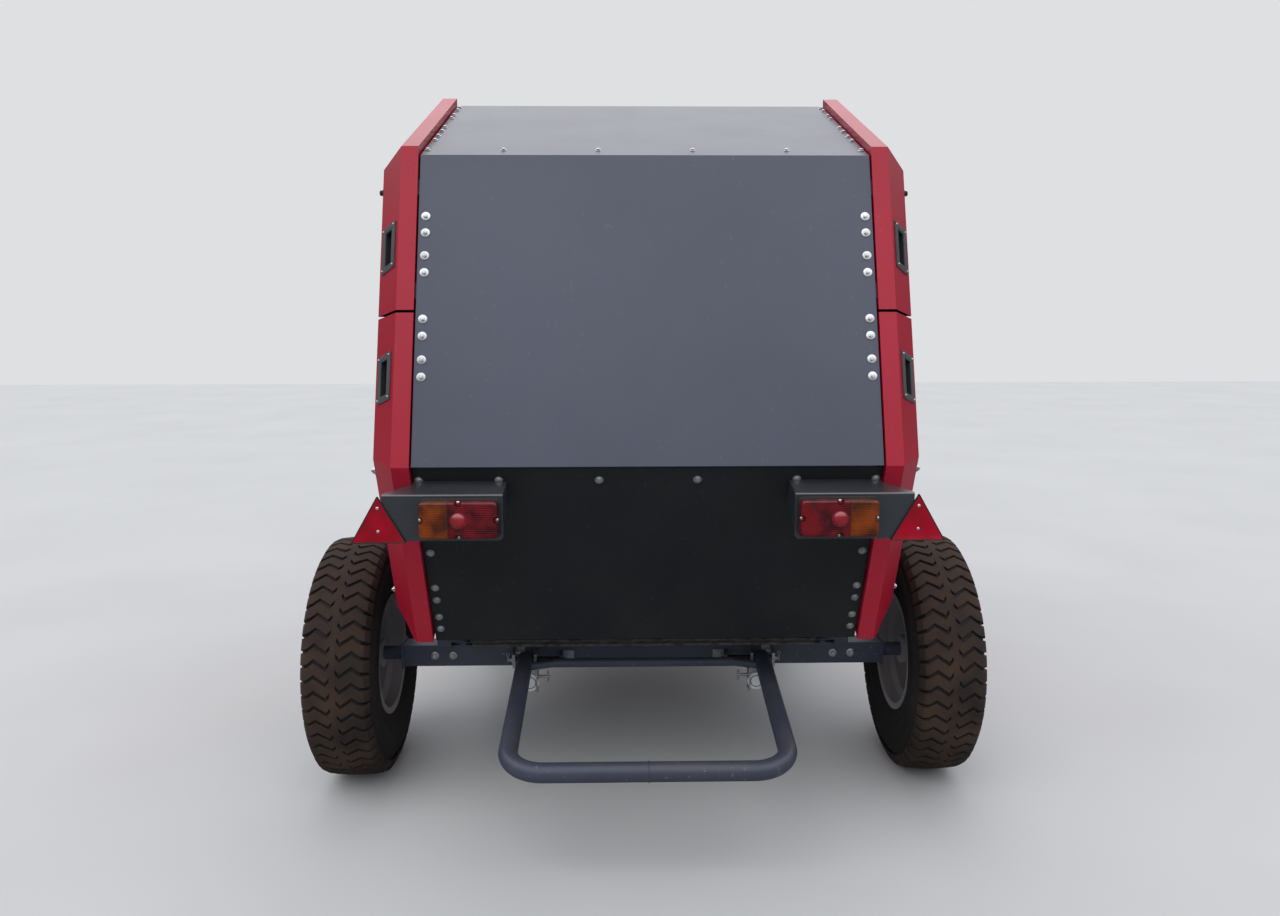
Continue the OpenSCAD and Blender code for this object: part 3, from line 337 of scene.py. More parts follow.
    def move(self, step: Sequence[float]) -> "Work":
        """Moves what is selected by a step."""
        bpy.ops.transform.translate(value=step)
        return self

    def grow(self, by: Sequence[float], about: Sequence[float]) -> "Work":
        """Scales what is selected about a point."""
        bpy.ops.transform.resize(value=by, center_override=about)
        return self

    def extrude(self, step: Sequence[float]) -> "Work":
        """Extrudes what is selected by a step."""
        bpy.ops.mesh.extrude_region_move(TRANSFORM_OT_translate={"value": step})
        return self

    def inset(self, width: float, depth: float = 0.0) -> "Work":
        """Insets the selected faces by a width, and sinks or raises them by a depth."""
        bpy.ops.mesh.inset(thickness=width, depth=depth)
        return self

    def bevel(self, width: float, segments: int = 2) -> "Work":
        """Bevels the selected edges."""
        bpy.ops.mesh.bevel(offset=width, segments=segments, affect="EDGES", clamp_overlap=True)
        return self

    def bevel_all(self, width: float, segments: int = 2, angle: float = 30.0) -> "Work":
        """Bevels every edge sharper than an angle, as a modifier that is then applied.

        Args:
            width: the bevel's width.
            segments: its steps.
            angle: the smallest angle in degrees.

        Returns:
            This work.
        """
        self.hold()
        bevel = self.obj.modifiers.new("edges", "BEVEL")
        bevel.width = width
        bevel.segments = segments
        bevel.limit_method = "ANGLE"
        bevel.angle_limit = math.radians(angle)
        bevel.miter_outer = "MITER_ARC"
        bpy.ops.object.modifier_apply(modifier=bevel.name)
        return self

    def heal(self, gap: float = 1e-5, outside: bool = True) -> "Work":
        """Merges doubled points and turns the faces outward.

        Args:
            gap: points closer than this become one.
            outside: whether the normals are worked out again.

        Returns:
            This work.
        """
        self.pick_all(Pick.POINT)
        bpy.ops.mesh.remove_doubles(threshold=gap)
        if outside:
            bpy.ops.mesh.normals_make_consistent(inside=False)
        bpy.ops.object.mode_set(mode="OBJECT")
        return self

    def rim(self, test: Test) -> "Work":
        """Selects the border of the faces that pass a test.

        Args:
            test: takes a face's centre and normal, and says whether it is wanted.

        Returns:
            This work, in edit mode.
        """
        self.pick(test)
        bpy.ops.mesh.region_to_loop()
        return self

    def bisect(self, place: Sequence[float], normal: Sequence[float]) -> "Work":
        """Cuts a row of edges through the whole mesh along a plane.

        Args:
            place: a point of the plane.
            normal: the plane's normal.

        Returns:
            This work.
        """
        self.pick_all()
        bpy.ops.mesh.bisect(plane_co=place, plane_no=normal)
        return self

    def cut(self, tools: Sequence["Work"]) -> "Work":
        """Takes other works out of this one and removes them.

        Args:
            tools: the works to take out.

        Returns:
            This work.
        """
        for tool in tools:
            self.hold()
            cutter = self.obj.modifiers.new("cut", "BOOLEAN")
            cutter.operation = "DIFFERENCE"
            cutter.solver = "MANIFOLD"
            cutter.object = tool.obj
            bpy.ops.object.modifier_apply(modifier=cutter.name)
            bpy.data.objects.remove(tool.obj)
        return self

    def tint(self, test: Test, finish: str) -> "Work":
        """Gives the faces that pass a test a further finish.

        Args:
            test: takes a face's centre and normal, and says whether it is wanted.
            finish: the finish's name.

        Returns:
            This work.
        """
        self.pick(test)
        self.obj.data.materials.append(MATERIALS[finish])
        self.obj.active_material_index = len(self.obj.data.materials) - 1
        bpy.ops.object.material_slot_assign()
        bpy.ops.object.mode_set(mode="OBJECT")
        return self

    def turned(self, matrix: Matrix) -> "Work":
        """Puts the mesh through a matrix and leaves the object at the origin.

        Args:
            matrix: the matrix; one that mirrors keeps the faces outward.

        Returns:
            This work.
        """
        release()
        self.obj.data.transform(matrix)
        if matrix.determinant() < 0:
            self.obj.data.flip_normals()
        return self

    def copied(self, matrix: Matrix) -> "Work":
        """Gives a copy of this work, with a mesh of its own, put through a matrix.

        Args:
            matrix: the matrix.

        Returns:
            The copy.
        """
        release()
        twin = bpy.data.objects.new(self.obj.name, self.obj.data.copy())
        bpy.context.scene.collection.objects.link(twin)
        return Work(twin).turned(matrix)

    def spread(self, places: Iterable[Matrix]) -> "Work":
        """Gives one work with a copy at every place, and takes the pattern away."""
        return joined(self.stamped(places))

    def stamped(self, places: Iterable[Matrix]) -> list["Work"]:
        """Gives a copy at every place and takes the pattern away.

        Args:
            places: a matrix for each copy.

        Returns:
            The copies.
        """
        made = [self.copied(place) for place in places]
        bpy.data.objects.remove(self.obj)
        return made

    def dress(self, finish: str) -> "Work":
        """Gives every face one finish.

        Args:
            finish: the finish's name.

        Returns:
            This work.
        """
        self.obj.data.materials.clear()
        self.obj.data.materials.append(MATERIALS[finish])
        return self


def joined(works: Sequence[Work]) -> Work:
    """Joins several works into the first one.

    Args:
        works: the pieces, each with its own material.

    Returns:
        The one work left.
    """
    release()
    for work in works:
        work.obj.select_set(True)
    bpy.context.view_layer.objects.active = works[0].obj
    if len(works) > 1:
        bpy.ops.object.join()
    return works[0]


def keep_flat(mesh: bpy.types.Mesh, smooth: float) -> None:
    """Weighs a mesh's corner normals by face area, so that its large faces stay flat.

    Args:
        mesh: the mesh.
        smooth: faces at a point count together below this angle in degrees.
    """
    limit = math.cos(math.radians(smooth))
    around = [[] for _ in mesh.vertices]
    for face in mesh.polygons:
        for corner in face.vertices:
            around[corner].append(face)
    normals = []
    for face in mesh.polygons:
        for corner in face.vertices:
            near = [f for f in around[corner] if f.normal.dot(face.normal) > limit] or [face]
            most = max(f.area for f in near) or 1.0
            total = sum((f.normal * (f.area / most) ** 2 for f in near), Vector())
            normals.append(total.normalized() if total.length > NEAR else face.normal.copy())
    mesh.normals_split_custom_set(normals)


def finish_piece(
        work: Work, name: str, body: str, smooth: float = 30.0, flats: bool = False
) -> bpy.types.Object:
    """Names a finished piece and sets it on its body.

    Args:
        work: the shaped piece, already dressed.
        name: the piece's name.
        body: the CAD body it rides on.
        smooth: faces that meet below this angle in degrees are shaded smooth.
        flats: whether its large faces are kept flat beside rounded edges.

    Returns:
        The piece's object.
    """
    obj = work.hold().obj
    obj.name = name
    obj.data.name = name
    bpy.ops.object.shade_smooth_by_angle(angle=math.radians(smooth))
    if flats:
        keep_flat(obj.data, smooth)
    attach(obj, body)
    LOG.info("%s: %d faces on %s", name, len(obj.data.polygons), body)
    return obj


def shift(*step: float) -> Matrix:
    """Gives the matrix that moves a piece by a step."""
    return Matrix.Translation(step)


def facing(place: Vector, out: Vector, up: Vector = UP) -> Matrix:
    """Gives the matrix that stands a piece on a surface.

    Args:
        place: where the piece's origin goes.
        out: the direction its Z axis takes.
        up: the direction its Y axis leans to.

    Returns:
        The matrix.
    """
    z = out.normalized()
    x = up.cross(z)
    if x.length < NEAR:
        x = RIGHT.cross(z)
    x.normalize()
    y = z.cross(x)
    turn = Matrix((x, y, z)).transposed()
    return Matrix.Translation(place) @ turn.to_4x4()


MIRROR = Matrix.Scale(-1.0, 4, (1, 0, 0))
Z_TO_X = Matrix.Rotation(math.pi / 2, 4, "Y")


class Side(Enum):
    """A side of the machine, seen from behind."""

    LEFT = -1
    RIGHT = 1

    def of(self, stem: str) -> str:
        """Gives the name that a node, body or piece has on this side."""
        return "%s_%s" % (stem, self.name.lower())

    def spot(self, place: Matrix) -> Matrix:
        """Gives a place on the right, or its mirror image on the left."""
        return place if self is Side.RIGHT else MIRROR @ place


def both_sides(places: Iterable[Matrix]) -> list[Matrix]:
    """Gives every place followed by its mirror image across the machine."""
    return [spot for place in places for spot in (place, MIRROR @ place)]


def round_circle(radius: float, count: int, start: float = 0.0) -> list[Pair]:
    """Gives points evenly round a circle, from a start angle in radians."""
    angles = [start + TURN * i / count for i in range(count)]
    return [(radius * math.cos(a), radius * math.sin(a)) for a in angles]


def on_flanks(x: float, centre: Pair, radius: float, count: int, start: float = 0.0) -> list[Matrix]:
    """Gives places round a circle on an upright face that looks sideways, and on its mirror image.

    Args:
        x: the face's distance from the machine's middle.
        centre: the circle's distance ahead of the axle and height.
        radius: the circle's radius.
        count: how many places there are on each side.
        start: the first one's angle in radians, from ahead to up.

    Returns:
        A matrix for each place, with Z outward.
    """
    return both_sides(
        facing(at(x, centre[0] + ahead, centre[1] + rise), RIGHT)
        for ahead, rise in round_circle(radius, count, start))


def on_shield(side: Side, places: Iterable[Pair]) -> list[Matrix]:
    """Gives matrices on a side shield's outer face, Z outward, for distances ahead and heights."""
    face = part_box("front_door_right")[1].x
    return [side.spot(facing(at(face, *place), RIGHT)) for place in places]


# Shader groups.


class Graph:
    """A node tree with short calls that add nodes and join them."""

    def __init__(self, tree: bpy.types.NodeTree) -> None:
        """Takes a material's, a group's or the world's node tree."""
        self.tree = tree

    def feed(self, node: bpy.types.Node, inputs: dict[str | int, object]) -> None:
        """Sets a node's inputs.

        Args:
            node: the node.
            inputs: a value or another node's socket for each input named.
        """
        for name, value in inputs.items():
            if isinstance(value, bpy.types.NodeSocket):
                self.tree.links.new(value, node.inputs[name])
            else:
                node.inputs[name].default_value = value

    def add(
            self, kind: str, inputs: dict[str | int, object] | None = None, **settings: object
    ) -> bpy.types.Node:
        """Adds a node.

        Args:
            kind: the node's type.
            inputs: a value or another node's socket for each input named.
            settings: the node's own settings.

        Returns:
            The node.
        """
        node = self.tree.nodes.new(kind)
        for name, value in settings.items():
            setattr(node, name, value)
        self.feed(node, inputs or {})
        return node

    def reckon(self, operation: str, a: object, b: object = 0.0, clamp: bool = False) -> bpy.types.NodeSocket:
        """Works out one step of arithmetic. The clamp keeps the result between 0 and 1."""
        return self.add("ShaderNodeMath", {0: a, 1: b}, operation=operation, use_clamp=clamp).outputs[0]

    def plus(self, a: object, b: object, clamp: bool = False) -> bpy.types.NodeSocket:
        """Adds two numbers or sockets."""
        return self.reckon("ADD", a, b, clamp)

    def times(self, a: object, b: object, clamp: bool = False) -> bpy.types.NodeSocket:
        """Multiplies two numbers or sockets."""
        return self.reckon("MULTIPLY", a, b, clamp)

    def ramp(self, value: object, low: float, high: float) -> bpy.types.NodeSocket:
        """Maps a value from a range to 0 to 1, with smooth ends."""
        inputs = {"Value": value, "From Min": low, "From Max": high}
        return self.add("ShaderNodeMapRange", inputs, interpolation_type="SMOOTHSTEP").outputs[0]

    def noise(self, where: object, scale: object, detail: float = 3.0) -> bpy.types.NodeSocket:
        """Adds a noise texture and gives its value."""
        return self.add("ShaderNodeTexNoise", {"Vector": where, "Scale": scale, "Detail": detail}).outputs[0]

    def part(self, vector: object, axis: str) -> bpy.types.NodeSocket:
        """Gives one part of a vector."""
        return self.add("ShaderNodeSeparateXYZ", {0: vector}).outputs[axis]

    def mix(self, share: object, a: object, b: object) -> bpy.types.NodeSocket:
        """Mixes two colours, each a colour's three numbers or a socket, and gives the result."""
        a, b = ((*colour, 1) if isinstance(colour, tuple) else colour for colour in (a, b))
        return self.add("ShaderNodeMix", {0: share, 6: a, 7: b}, data_type="RGBA").outputs[2]


class Group(Graph):
    """A shader group's graph, with its input sockets and its output node."""

    def __init__(
            self, name: str, inputs: Sequence[tuple[str, str, object]], outputs: Sequence[tuple[str, str]]
    ) -> None:
        """Starts a group. Its first input is always the place on the surface.

        Args:
            name: the group's name.
            inputs: the name, kind and starting value of each further input.
            outputs: the name and kind of each output.
        """
        super().__init__(bpy.data.node_groups.new(name, "ShaderNodeTree"))
        for label, kind, value in (("Place", "Vector", None), *inputs):
            socket = self.tree.interface.new_socket(
                name=label, in_out="INPUT", socket_type="NodeSocket" + kind)
            if value is not None:
                socket.default_value = value
        for label, kind in outputs:
            self.tree.interface.new_socket(name=label, in_out="OUTPUT", socket_type="NodeSocket" + kind)
        self.given = self.add("NodeGroupInput").outputs
        self.place = self.given["Place"]
        self.out = self.add("NodeGroupOutput")


def settled_dust() -> bpy.types.NodeTree:
    """Builds the group that lays field dust on level faces and spray on low ones.

    Returns:
        The group's tree.
    """
    group = Group(
        "settled_dust",
        [("Colour", "Color", (0.5, 0.5, 0.5, 1)), ("Dust", "Color", (0.25, 0.2, 0.14, 1)),
         ("Amount", "Float", 0.5), ("Spray Height", "Float", 0.9), ("Roughness", "Float", 0.4)],
        [("Colour", "Color"), ("Roughness", "Float")])
    given = group.given
    up = group.part(group.add("ShaderNodeNewGeometry").outputs["Normal"], "Z")
    level = group.ramp(up, 0.35, 1.0)
    share = group.reckon("DIVIDE", group.part(group.place, "Z"), given["Spray Height"])
    drop = group.reckon("SUBTRACT", 1.0, share, True)
    blotch = group.ramp(group.noise(group.place, 5.0, 6.0), 0.35, 0.72)
    fleck = group.ramp(group.noise(group.place, 140.0, 2.0), 0.52, 0.7)
    spray = group.times(drop, group.plus(group.times(fleck, 0.7), blotch))
    film = group.times(group.plus(level, 0.12), group.plus(blotch, 0.35))
    mask = group.times(group.plus(film, spray), given["Amount"], True)
    colour = group.mix(mask, given["Colour"], given["Dust"])
    rough = group.add("ShaderNodeMix", {0: mask, 2: given["Roughness"], 3: 0.85}).outputs[0]
    group.feed(group.out, {"Colour": colour, "Roughness": rough})
    return group.tree


def skin_relief() -> bpy.types.NodeTree:
    """Builds the group that gives a surface its slow waves and its fine skin, as a height.

    Returns:
        The group's tree.
    """
    group = Group(
        "skin_relief",
        [("Wave Size", "Float", 2.5), ("Waves", "Float", 0.6), ("Skin Size", "Float", 500.0),
         ("Skin", "Float", 0.1)],
        [("Height", "Float")])
    given = group.given
    slow = group.times(group.noise(group.place, given["Wave Size"], 1.0), given["Waves"])
    fine = group.times(group.noise(group.place, given["Skin Size"], 2.0), given["Skin"])
    group.feed(group.out, {"Height": group.plus(slow, fine)})
    return group.tree


def rub_marks() -> bpy.types.NodeTree:
    """Builds the group that gives long thin rub marks and small chips, as a mask.

    Returns:
        The group's tree.
    """
    group = Group("rub_marks", [("Amount", "Float", 0.3)], [("Mask", "Float")])
    long = group.add("ShaderNodeMapping", {"Vector": group.place, "Scale": (90.0, 90.0, 4.0)}).outputs[0]
    streak = group.ramp(group.noise(long, 1.0, 2.0), 0.66, 0.74)
    patch = group.ramp(group.noise(group.place, 3.0, 3.0), 0.5, 0.66)
    chip = group.ramp(group.noise(group.place, 70.0, 1.0), 0.72, 0.76)
    marks = group.plus(group.times(streak, patch), chip)
    group.feed(group.out, {"Mask": group.times(marks, group.given["Amount"], True)})
    return group.tree


GROUPS = {tree.name: tree for tree in (settled_dust(), skin_relief(), rub_marks())}


# Finishes.


class Surface(Graph):
    """A material's graph, with its shader and its Object coordinates."""

    def __init__(self, name: str) -> None:
        """Starts a material.

        Args:
            name: the material's name.
        """
        self.material = bpy.data.materials.new(name)
        self.material.use_nodes = True
        super().__init__(self.material.node_tree)
        self.shader = self.tree.nodes["Principled BSDF"]
        self.place = self.add("ShaderNodeTexCoord").outputs["Object"]

    def group(self, name: str, **values: object) -> bpy.types.NodeOutputs:
        """Adds a shader group and gives its outputs. In an input's name, _ stands for a space."""
        inputs = {label.replace("_", " "): value for label, value in values.items()}
        return self.add("ShaderNodeGroup", {"Place": self.place, **inputs}, node_tree=GROUPS[name]).outputs

    def set_dust(self, colour: bpy.types.NodeSocket, amount: float, roughness: float) -> None:
        """Lays an amount of dust over a colour and feeds colour and roughness to the shader."""
        dust = self.group("settled_dust", Colour=colour, Amount=amount, Roughness=roughness)
        self.feed(self.shader, {"Base Color": dust["Colour"], "Roughness": dust["Roughness"]})

    def set_relief(self, height: bpy.types.NodeSocket, depth: float) -> None:
        """Feeds a height to the shader's normal, where a height of 1 is so many metres deep."""
        bump = self.add("ShaderNodeBump", {"Height": height, "Distance": depth, "Strength": 1.0})
        self.feed(self.shader, {"Normal": bump.outputs[0]})

    def set_skin(self, waves: Pair, skin: Pair, depth: float) -> None:
        """Gives the surface slow waves and a fine skin, each by its scale and its share."""
        sizes = {"Wave_Size": waves[0], "Waves": waves[1], "Skin_Size": skin[0], "Skin": skin[1]}
        self.set_relief(self.group("skin_relief", **sizes)["Height"], depth)


@dataclass(frozen=True)
class Paint:
    """Sprayed paint over steel, dusty and a little rubbed."""

    name: str
    colour: Colour
    shade: Colour
    roughness: float = 0.35
    coat: float = 0.3
    dust: float = 0.35
    rub: float = 0.3
    bare: Colour = (0.42, 0.40, 0.38)
    wave: float = 0.5
    specular: float = 0.35

    def build(self) -> bpy.types.Material:
        """Builds the material.

        Returns:
            The material.
        """
        surface = Surface(self.name)
        patch = surface.ramp(surface.noise(surface.place, 1.7, 4.0), 0.3, 0.7)
        tone = surface.mix(patch, self.colour, self.shade)
        worn = surface.mix(surface.group("rub_marks", Amount=self.rub)["Mask"], tone, self.bare)
        surface.set_dust(worn, self.dust, self.roughness)
        surface.feed(surface.shader, {
            "Coat Weight": self.coat, "Coat Roughness": 0.18, "Specular IOR Level": self.specular})
        surface.set_skin((2.2, self.wave), (420.0, 0.02), 0.004)
        return surface.material


@dataclass(frozen=True)
class Metal:
    """Bare or plated metal with a fine grain and a little dirt."""

    name: str
    colour: Colour
    dull: Colour
    roughness: float = 0.35
    grain: float = 0.05
    dust: float = 0.25
    metallic: float = 1.0

    def build(self) -> bpy.types.Material:
        """Builds the material.

        Returns:
            The material.
        """
        surface = Surface(self.name)
        patch = surface.ramp(surface.noise(surface.place, 38.0, 5.0), 0.35, 0.7)
        surface.set_dust(surface.mix(patch, self.colour, self.dull), self.dust, self.roughness)
        surface.feed(surface.shader, {"Metallic": self.metallic})
        surface.set_skin((60.0, self.grain), (900.0, self.grain), 0.002)
        return surface.material


@dataclass(frozen=True)
class Moulded:
    """Moulded rubber or plastic with dust in its pores."""

    name: str
    colour: Colour
    soil: Colour
    roughness: float = 0.6
    soiled: float = 0.5
    pores: float = 0.2
    pore_size: float = 220.0

    def build(self) -> bpy.types.Material:
        """Builds the material.

        Returns:
            The material.
        """
        surface = Surface(self.name)
        cloud = surface.noise(surface.place, 9.0, 8.0)
        mask = surface.times(surface.ramp(cloud, 0.3, 0.75), self.soiled, True)
        rough = surface.add("ShaderNodeMapRange", {"Value": cloud, "To Min": self.roughness, "To Max": 0.95})
        surface.feed(surface.shader, {
            "Base Color": surface.mix(mask, self.colour, self.soil), "Roughness": rough.outputs[0]})
        surface.set_skin((30.0, self.pores), (self.pore_size, self.pores), 0.002)
        return surface.material


@dataclass(frozen=True)
class Lens:
    """Coloured lens plastic with flutes or prisms moulded in its face."""

    name: str
    colour: Colour
    deep: Colour
    pitch: float = 0.0016
    prisms: bool = False
    coat: float = 0.35
    flutes: float = 0.3

    def build(self) -> bpy.types.Material:
        """Builds the material.

        Returns:
            The material.
        """
        surface = Surface(self.name)
        scaled = surface.add("ShaderNodeMapping", {"Vector": surface.place, "Scale": (1 / self.pitch,) * 3})
        if self.prisms:
            inputs = {"Vector": scaled.outputs[0], "Scale": 1.0, "Randomness": 0.0}
            flute = surface.add("ShaderNodeTexVoronoi", inputs).outputs["Distance"]
        else:
            flute = surface.reckon("ABSOLUTE", surface.reckon("SINE", surface.part(scaled.outputs[0], "Z")))
        cloud = surface.ramp(surface.noise(surface.place, 17.0, 2.0), 0.32, 0.72)
        share = surface.plus(surface.times(flute, self.flutes), surface.times(cloud, 0.85), True)
        surface.feed(surface.shader, {
            "Base Color": surface.mix(share, self.colour, self.deep),
            "Roughness": surface.ramp(cloud, -1.2, 6.0), "Specular IOR Level": 0.25,
            "Coat Weight": self.coat, "Coat Roughness": 0.08, "Coat IOR": 1.7 if self.coat > 0.9 else 1.5})
        surface.set_relief(flute, 0.0006)
        return surface.material


FINISHES = (
    Paint("red_paint", (0.42, 0.006, 0.030), (0.36, 0.004, 0.022), 0.34, 0.12, 0.06, 0.06),
    Paint("grey_paint", (0.078, 0.085, 0.120), (0.068, 0.075, 0.106), 0.34, 0.15, 0.08, 0.06),
    # The next finish is the tailgate's grey paint made darker, with no coat and less specular: painted shade
    # for the lower panel, which faces the ground
    Paint("low_paint", (0.0145, 0.0175, 0.0205), (0.012, 0.0145, 0.017), 0.45, 0.0, 0.06, 0.03,
          specular=0.25),
    Paint("bracket_paint", (0.030, 0.035, 0.046), (0.026, 0.030, 0.039), 0.32, 0.8, 0.06, 0.06,
          specular=0.6),
    Paint("frame_paint", (0.056, 0.065, 0.100), (0.046, 0.054, 0.083), 0.42, 0.12, 0.07, 0.2),
    Paint("rim_paint", (0.27, 0.26, 0.275), (0.21, 0.20, 0.21), 0.45, 0.1, 0.2, 0.25),
    Paint("cast", (0.11, 0.11, 0.12), (0.08, 0.08, 0.085), 0.55, 0.05, 0.5, 0.6, wave=1.2),
    Metal("roller_steel", (0.16, 0.15, 0.15), (0.07, 0.06, 0.055), 0.42, 0.10, 0.12, 0.7),
    Metal("zinc", (0.72, 0.73, 0.75), (0.52, 0.53, 0.54), 0.34, 0.03, 0.10, 0.85),
    Metal("dull_zinc", (0.34, 0.37, 0.37), (0.24, 0.26, 0.26), 0.42, 0.03, 0.10, 0.6),
    Metal("plate_zinc", (0.26, 0.27, 0.33), (0.19, 0.20, 0.245), 0.5, 0.03, 0.15, 0.1),
    Metal("spring_steel", (0.30, 0.28, 0.25), (0.16, 0.12, 0.09), 0.42, 0.05, 0.3, 0.9),
    Metal("brass", (0.55, 0.38, 0.14), (0.36, 0.24, 0.09), 0.32, 0.03, 0.25, 0.9),
    Metal("chrome_rod", (0.78, 0.79, 0.80), (0.74, 0.75, 0.77), 0.12, 0.005, 0.05),
    Moulded("tyre", (0.012, 0.010, 0.011), (0.030, 0.021, 0.019), 0.66, 0.4, 0.25),
    Moulded("tread", (0.019, 0.012, 0.010), (0.054, 0.030, 0.018), 0.80, 0.9, 0.35),
    Moulded("solid_rubber", (0.020, 0.019, 0.018), (0.06, 0.05, 0.04), 0.65, 0.6, 0.25),
    Moulded("black_plastic", (0.010, 0.010, 0.011), (0.035, 0.032, 0.028), 0.5, 0.3, 0.12),
    Moulded("grip_plastic", (0.060, 0.060, 0.068), (0.10, 0.095, 0.09), 0.5, 0.3, 0.1),
    Moulded("white_plastic", (0.62, 0.64, 0.66), (0.45, 0.43, 0.38), 0.45, 0.3, 0.05),
    Lens("lamp_lens", (0.20, 0.004, 0.010), (0.030, 0.001, 0.003)),
    Lens("dome_lens", (0.34, 0.006, 0.020), (0.20, 0.003, 0.010), coat=1.0, flutes=0.1),
    Lens("amber_lens", (0.27, 0.048, 0.002), (0.060, 0.010, 0.001)),
    Lens("reflector", (0.40, 0.002, 0.020), (0.27, 0.001, 0.009), 0.0035, prisms=True))
MATERIALS = {finish.name: finish.build() for finish in FINISHES}


def dress_nodes() -> None:
    """Gives every CAD node the material of its slot in the record."""
    for part in frame["record"]["subparts"]:
        slots = frame["nodes"][part["node"]].data.materials
        slots.clear()
        slots.append(MATERIALS[part["material_slot"]])
    # The lower panel takes the darker copy of the grey paint as painted shade, not as a paint of its own
    frame["nodes"]["gate_lower_panel"].data.materials[0] = MATERIALS["low_paint"]
    frame["nodes"]["lamp_brackets"].data.materials[0] = MATERIALS["bracket_paint"]


# Fasteners.


@dataclass(frozen=True)
class Fastener:
    """A hexagon head on a round washer, standing on its origin with Z outward."""

    washer_r: float
    washer_t: float
    head_r: float
    head_h: float
    stud: float = 0.0

    def model(self) -> Work:
        """Models one fastener from its washer, its head and, where it has one, its thread's end.

        Returns:
            The work.
        """
        rings = [
            (self.washer_r, self.washer_t, 28, self.washer_r * 0.16, self.washer_t * 0.35),
            (self.head_r, self.head_h, 6, self.head_r * 0.14, self.head_h * 0.12)]
        if self.stud:
            rings.append((self.head_r * 0.5, self.stud, 12, self.head_r * 0.1, self.head_r * 0.06))
        parts = []
        foot = 0.0
        for radius, height, sides, edge, rise in rings:
            disc = Work.disc(radius, height, sides, (0, 0, foot + height / 2))
            parts.append(disc.pick(looks_up).inset(edge, rise).heal().dress("zinc"))
            foot += height
        return joined(parts)


def dome(radius: float, foot: float, rise: float, steps: int) -> list[Pair]:
    """Gives a dome's outline from its foot to its crown, as pairs of radius and height."""
    angles = [i * math.pi / (2 * steps) for i in range(steps + 1)]
    return [(radius * math.cos(a), foot + rise * math.sin(a)) for a in angles]


@dataclass(frozen=True)
class DomeHead:
    """A low round head on a washer, standing on its origin with Z outward."""

    washer_r: float
    head_r: float
    head_h: float
    finish: str = "zinc"
    washer_t: float = 0.0018

    def model(self) -> Work:
        """Models one head.

        Returns:
            The work.
        """
        outline = [(0.0, 0.0), (self.washer_r, 0.0), (self.washer_r, self.washer_t)]
        outline += dome(self.head_r, self.washer_t + 0.0006, self.head_h, 4)
        return Work.lathe(outline, 20).dress(self.finish)


PANEL_BOLT = Fastener(0.0135, 0.0022, 0.0072, 0.0060, 0.002)
ROOF_BOLT = Fastener(0.0090, 0.0016, 0.0062, 0.0045)
FRAME_BOLT = Fastener(0.0150, 0.0030, 0.0095, 0.0080, 0.005)
BEARING_BOLT = Fastener(0.0100, 0.0020, 0.0075, 0.0060, 0.003)
CAP_SCREW = DomeHead(0.0048, 0.0042, 0.0022)
SMALL_SCREW = DomeHead(0.0034, 0.0030, 0.0018)
BIG_DOME = DomeHead(0.0128, 0.0112, 0.0068, "dull_zinc")
BAND_HEAD = DomeHead(0.0085, 0.0075, 0.004)
LATCH_KEY = DomeHead(0.009, 0.0078, 0.002)
HANDLE_FOOT = DomeHead(0.013, 0.0115, 0.003, "black_plastic")


@dataclass(frozen=True)
class Turned:
    """A small turned part, standing on its origin with Z outward."""

    finish: str
    steps: int
    outline: tuple[Pair, ...]

    def model(self) -> Work:
        """Models one part."""
        return Work.lathe(self.outline, self.steps).dress(self.finish)


BUFFER = Turned("black_plastic", 20, (
    (0, 0), (0.011, 0), (0.011, 0.004), (0.0085, 0.006), (0.0085, 0.012), (0.006, 0.014), (0, 0.014)))
VALVE = Turned("black_plastic", 14, (
    (0, 0.030), (0.0055, 0.030), (0.0045, 0.044), (0.0035, 0.052), (0.0038, 0.053), (0.0038, 0.062),
    (0, 0.063)))
COLLAR = Turned("cast", 32, (
    (0, 0), (0.030, 0), (0.030, 0.006), (0.0285, 0.0075), (0.0215, 0.0075), (0.0205, 0.0045), (0, 0.0045)))
NIPPLE = Turned("zinc", 12, (
    (0, 0), (0.0045, 0), (0.0045, 0.004), (0.0028, 0.005), (0.0028, 0.008), (0.0034, 0.009),
    (0.0026, 0.0115), (0, 0.012)))
PIN_CAP = Turned("zinc", 24, (
    (0, 0), (0.022, 0), (0.022, 0.003), (0.0165, 0.004), (0.0165, 0.010), (0.012, 0.014), (0, 0.015)))
OIL_PLUG = Turned("zinc", 20, (
    (0, 0), (0.016, 0), (0.016, 0.004), (0.011, 0.005), (0.011, 0.016), (0.009, 0.018), (0, 0.018)))
BREATHER = Turned("brass", 20, (
    (0, 0), (0.008, 0), (0.008, 0.012), (0.013, 0.013), (0.013, 0.022), (0.010, 0.027), (0, 0.028)))


@dataclass(frozen=True)
class Slope:
    """A flat face across the machine, between two edges given as distance ahead and height."""

    upper: Pair
    lower: Pair

    def down(self) -> Vector:
        """Gives the direction down the face."""
        return Vector((0, self.lower[0] - self.upper[0], self.lower[1] - self.upper[1])).normalized()

    def out(self) -> Vector:
        """Gives the direction out of the face, away from the bale chamber."""
        step = self.down()
        return Vector((0, step.z, -step.y))

    def spot(self, x: float, along: float, lift: float = 0.0) -> Matrix:
        """Gives the matrix, Z outward, of a place so far along from the upper edge and lifted off."""
        place = at(x, *self.upper) + self.down() * along + self.out() * lift
        return facing(place, self.out(), -self.down())


SHEET_RUN = 0.0033


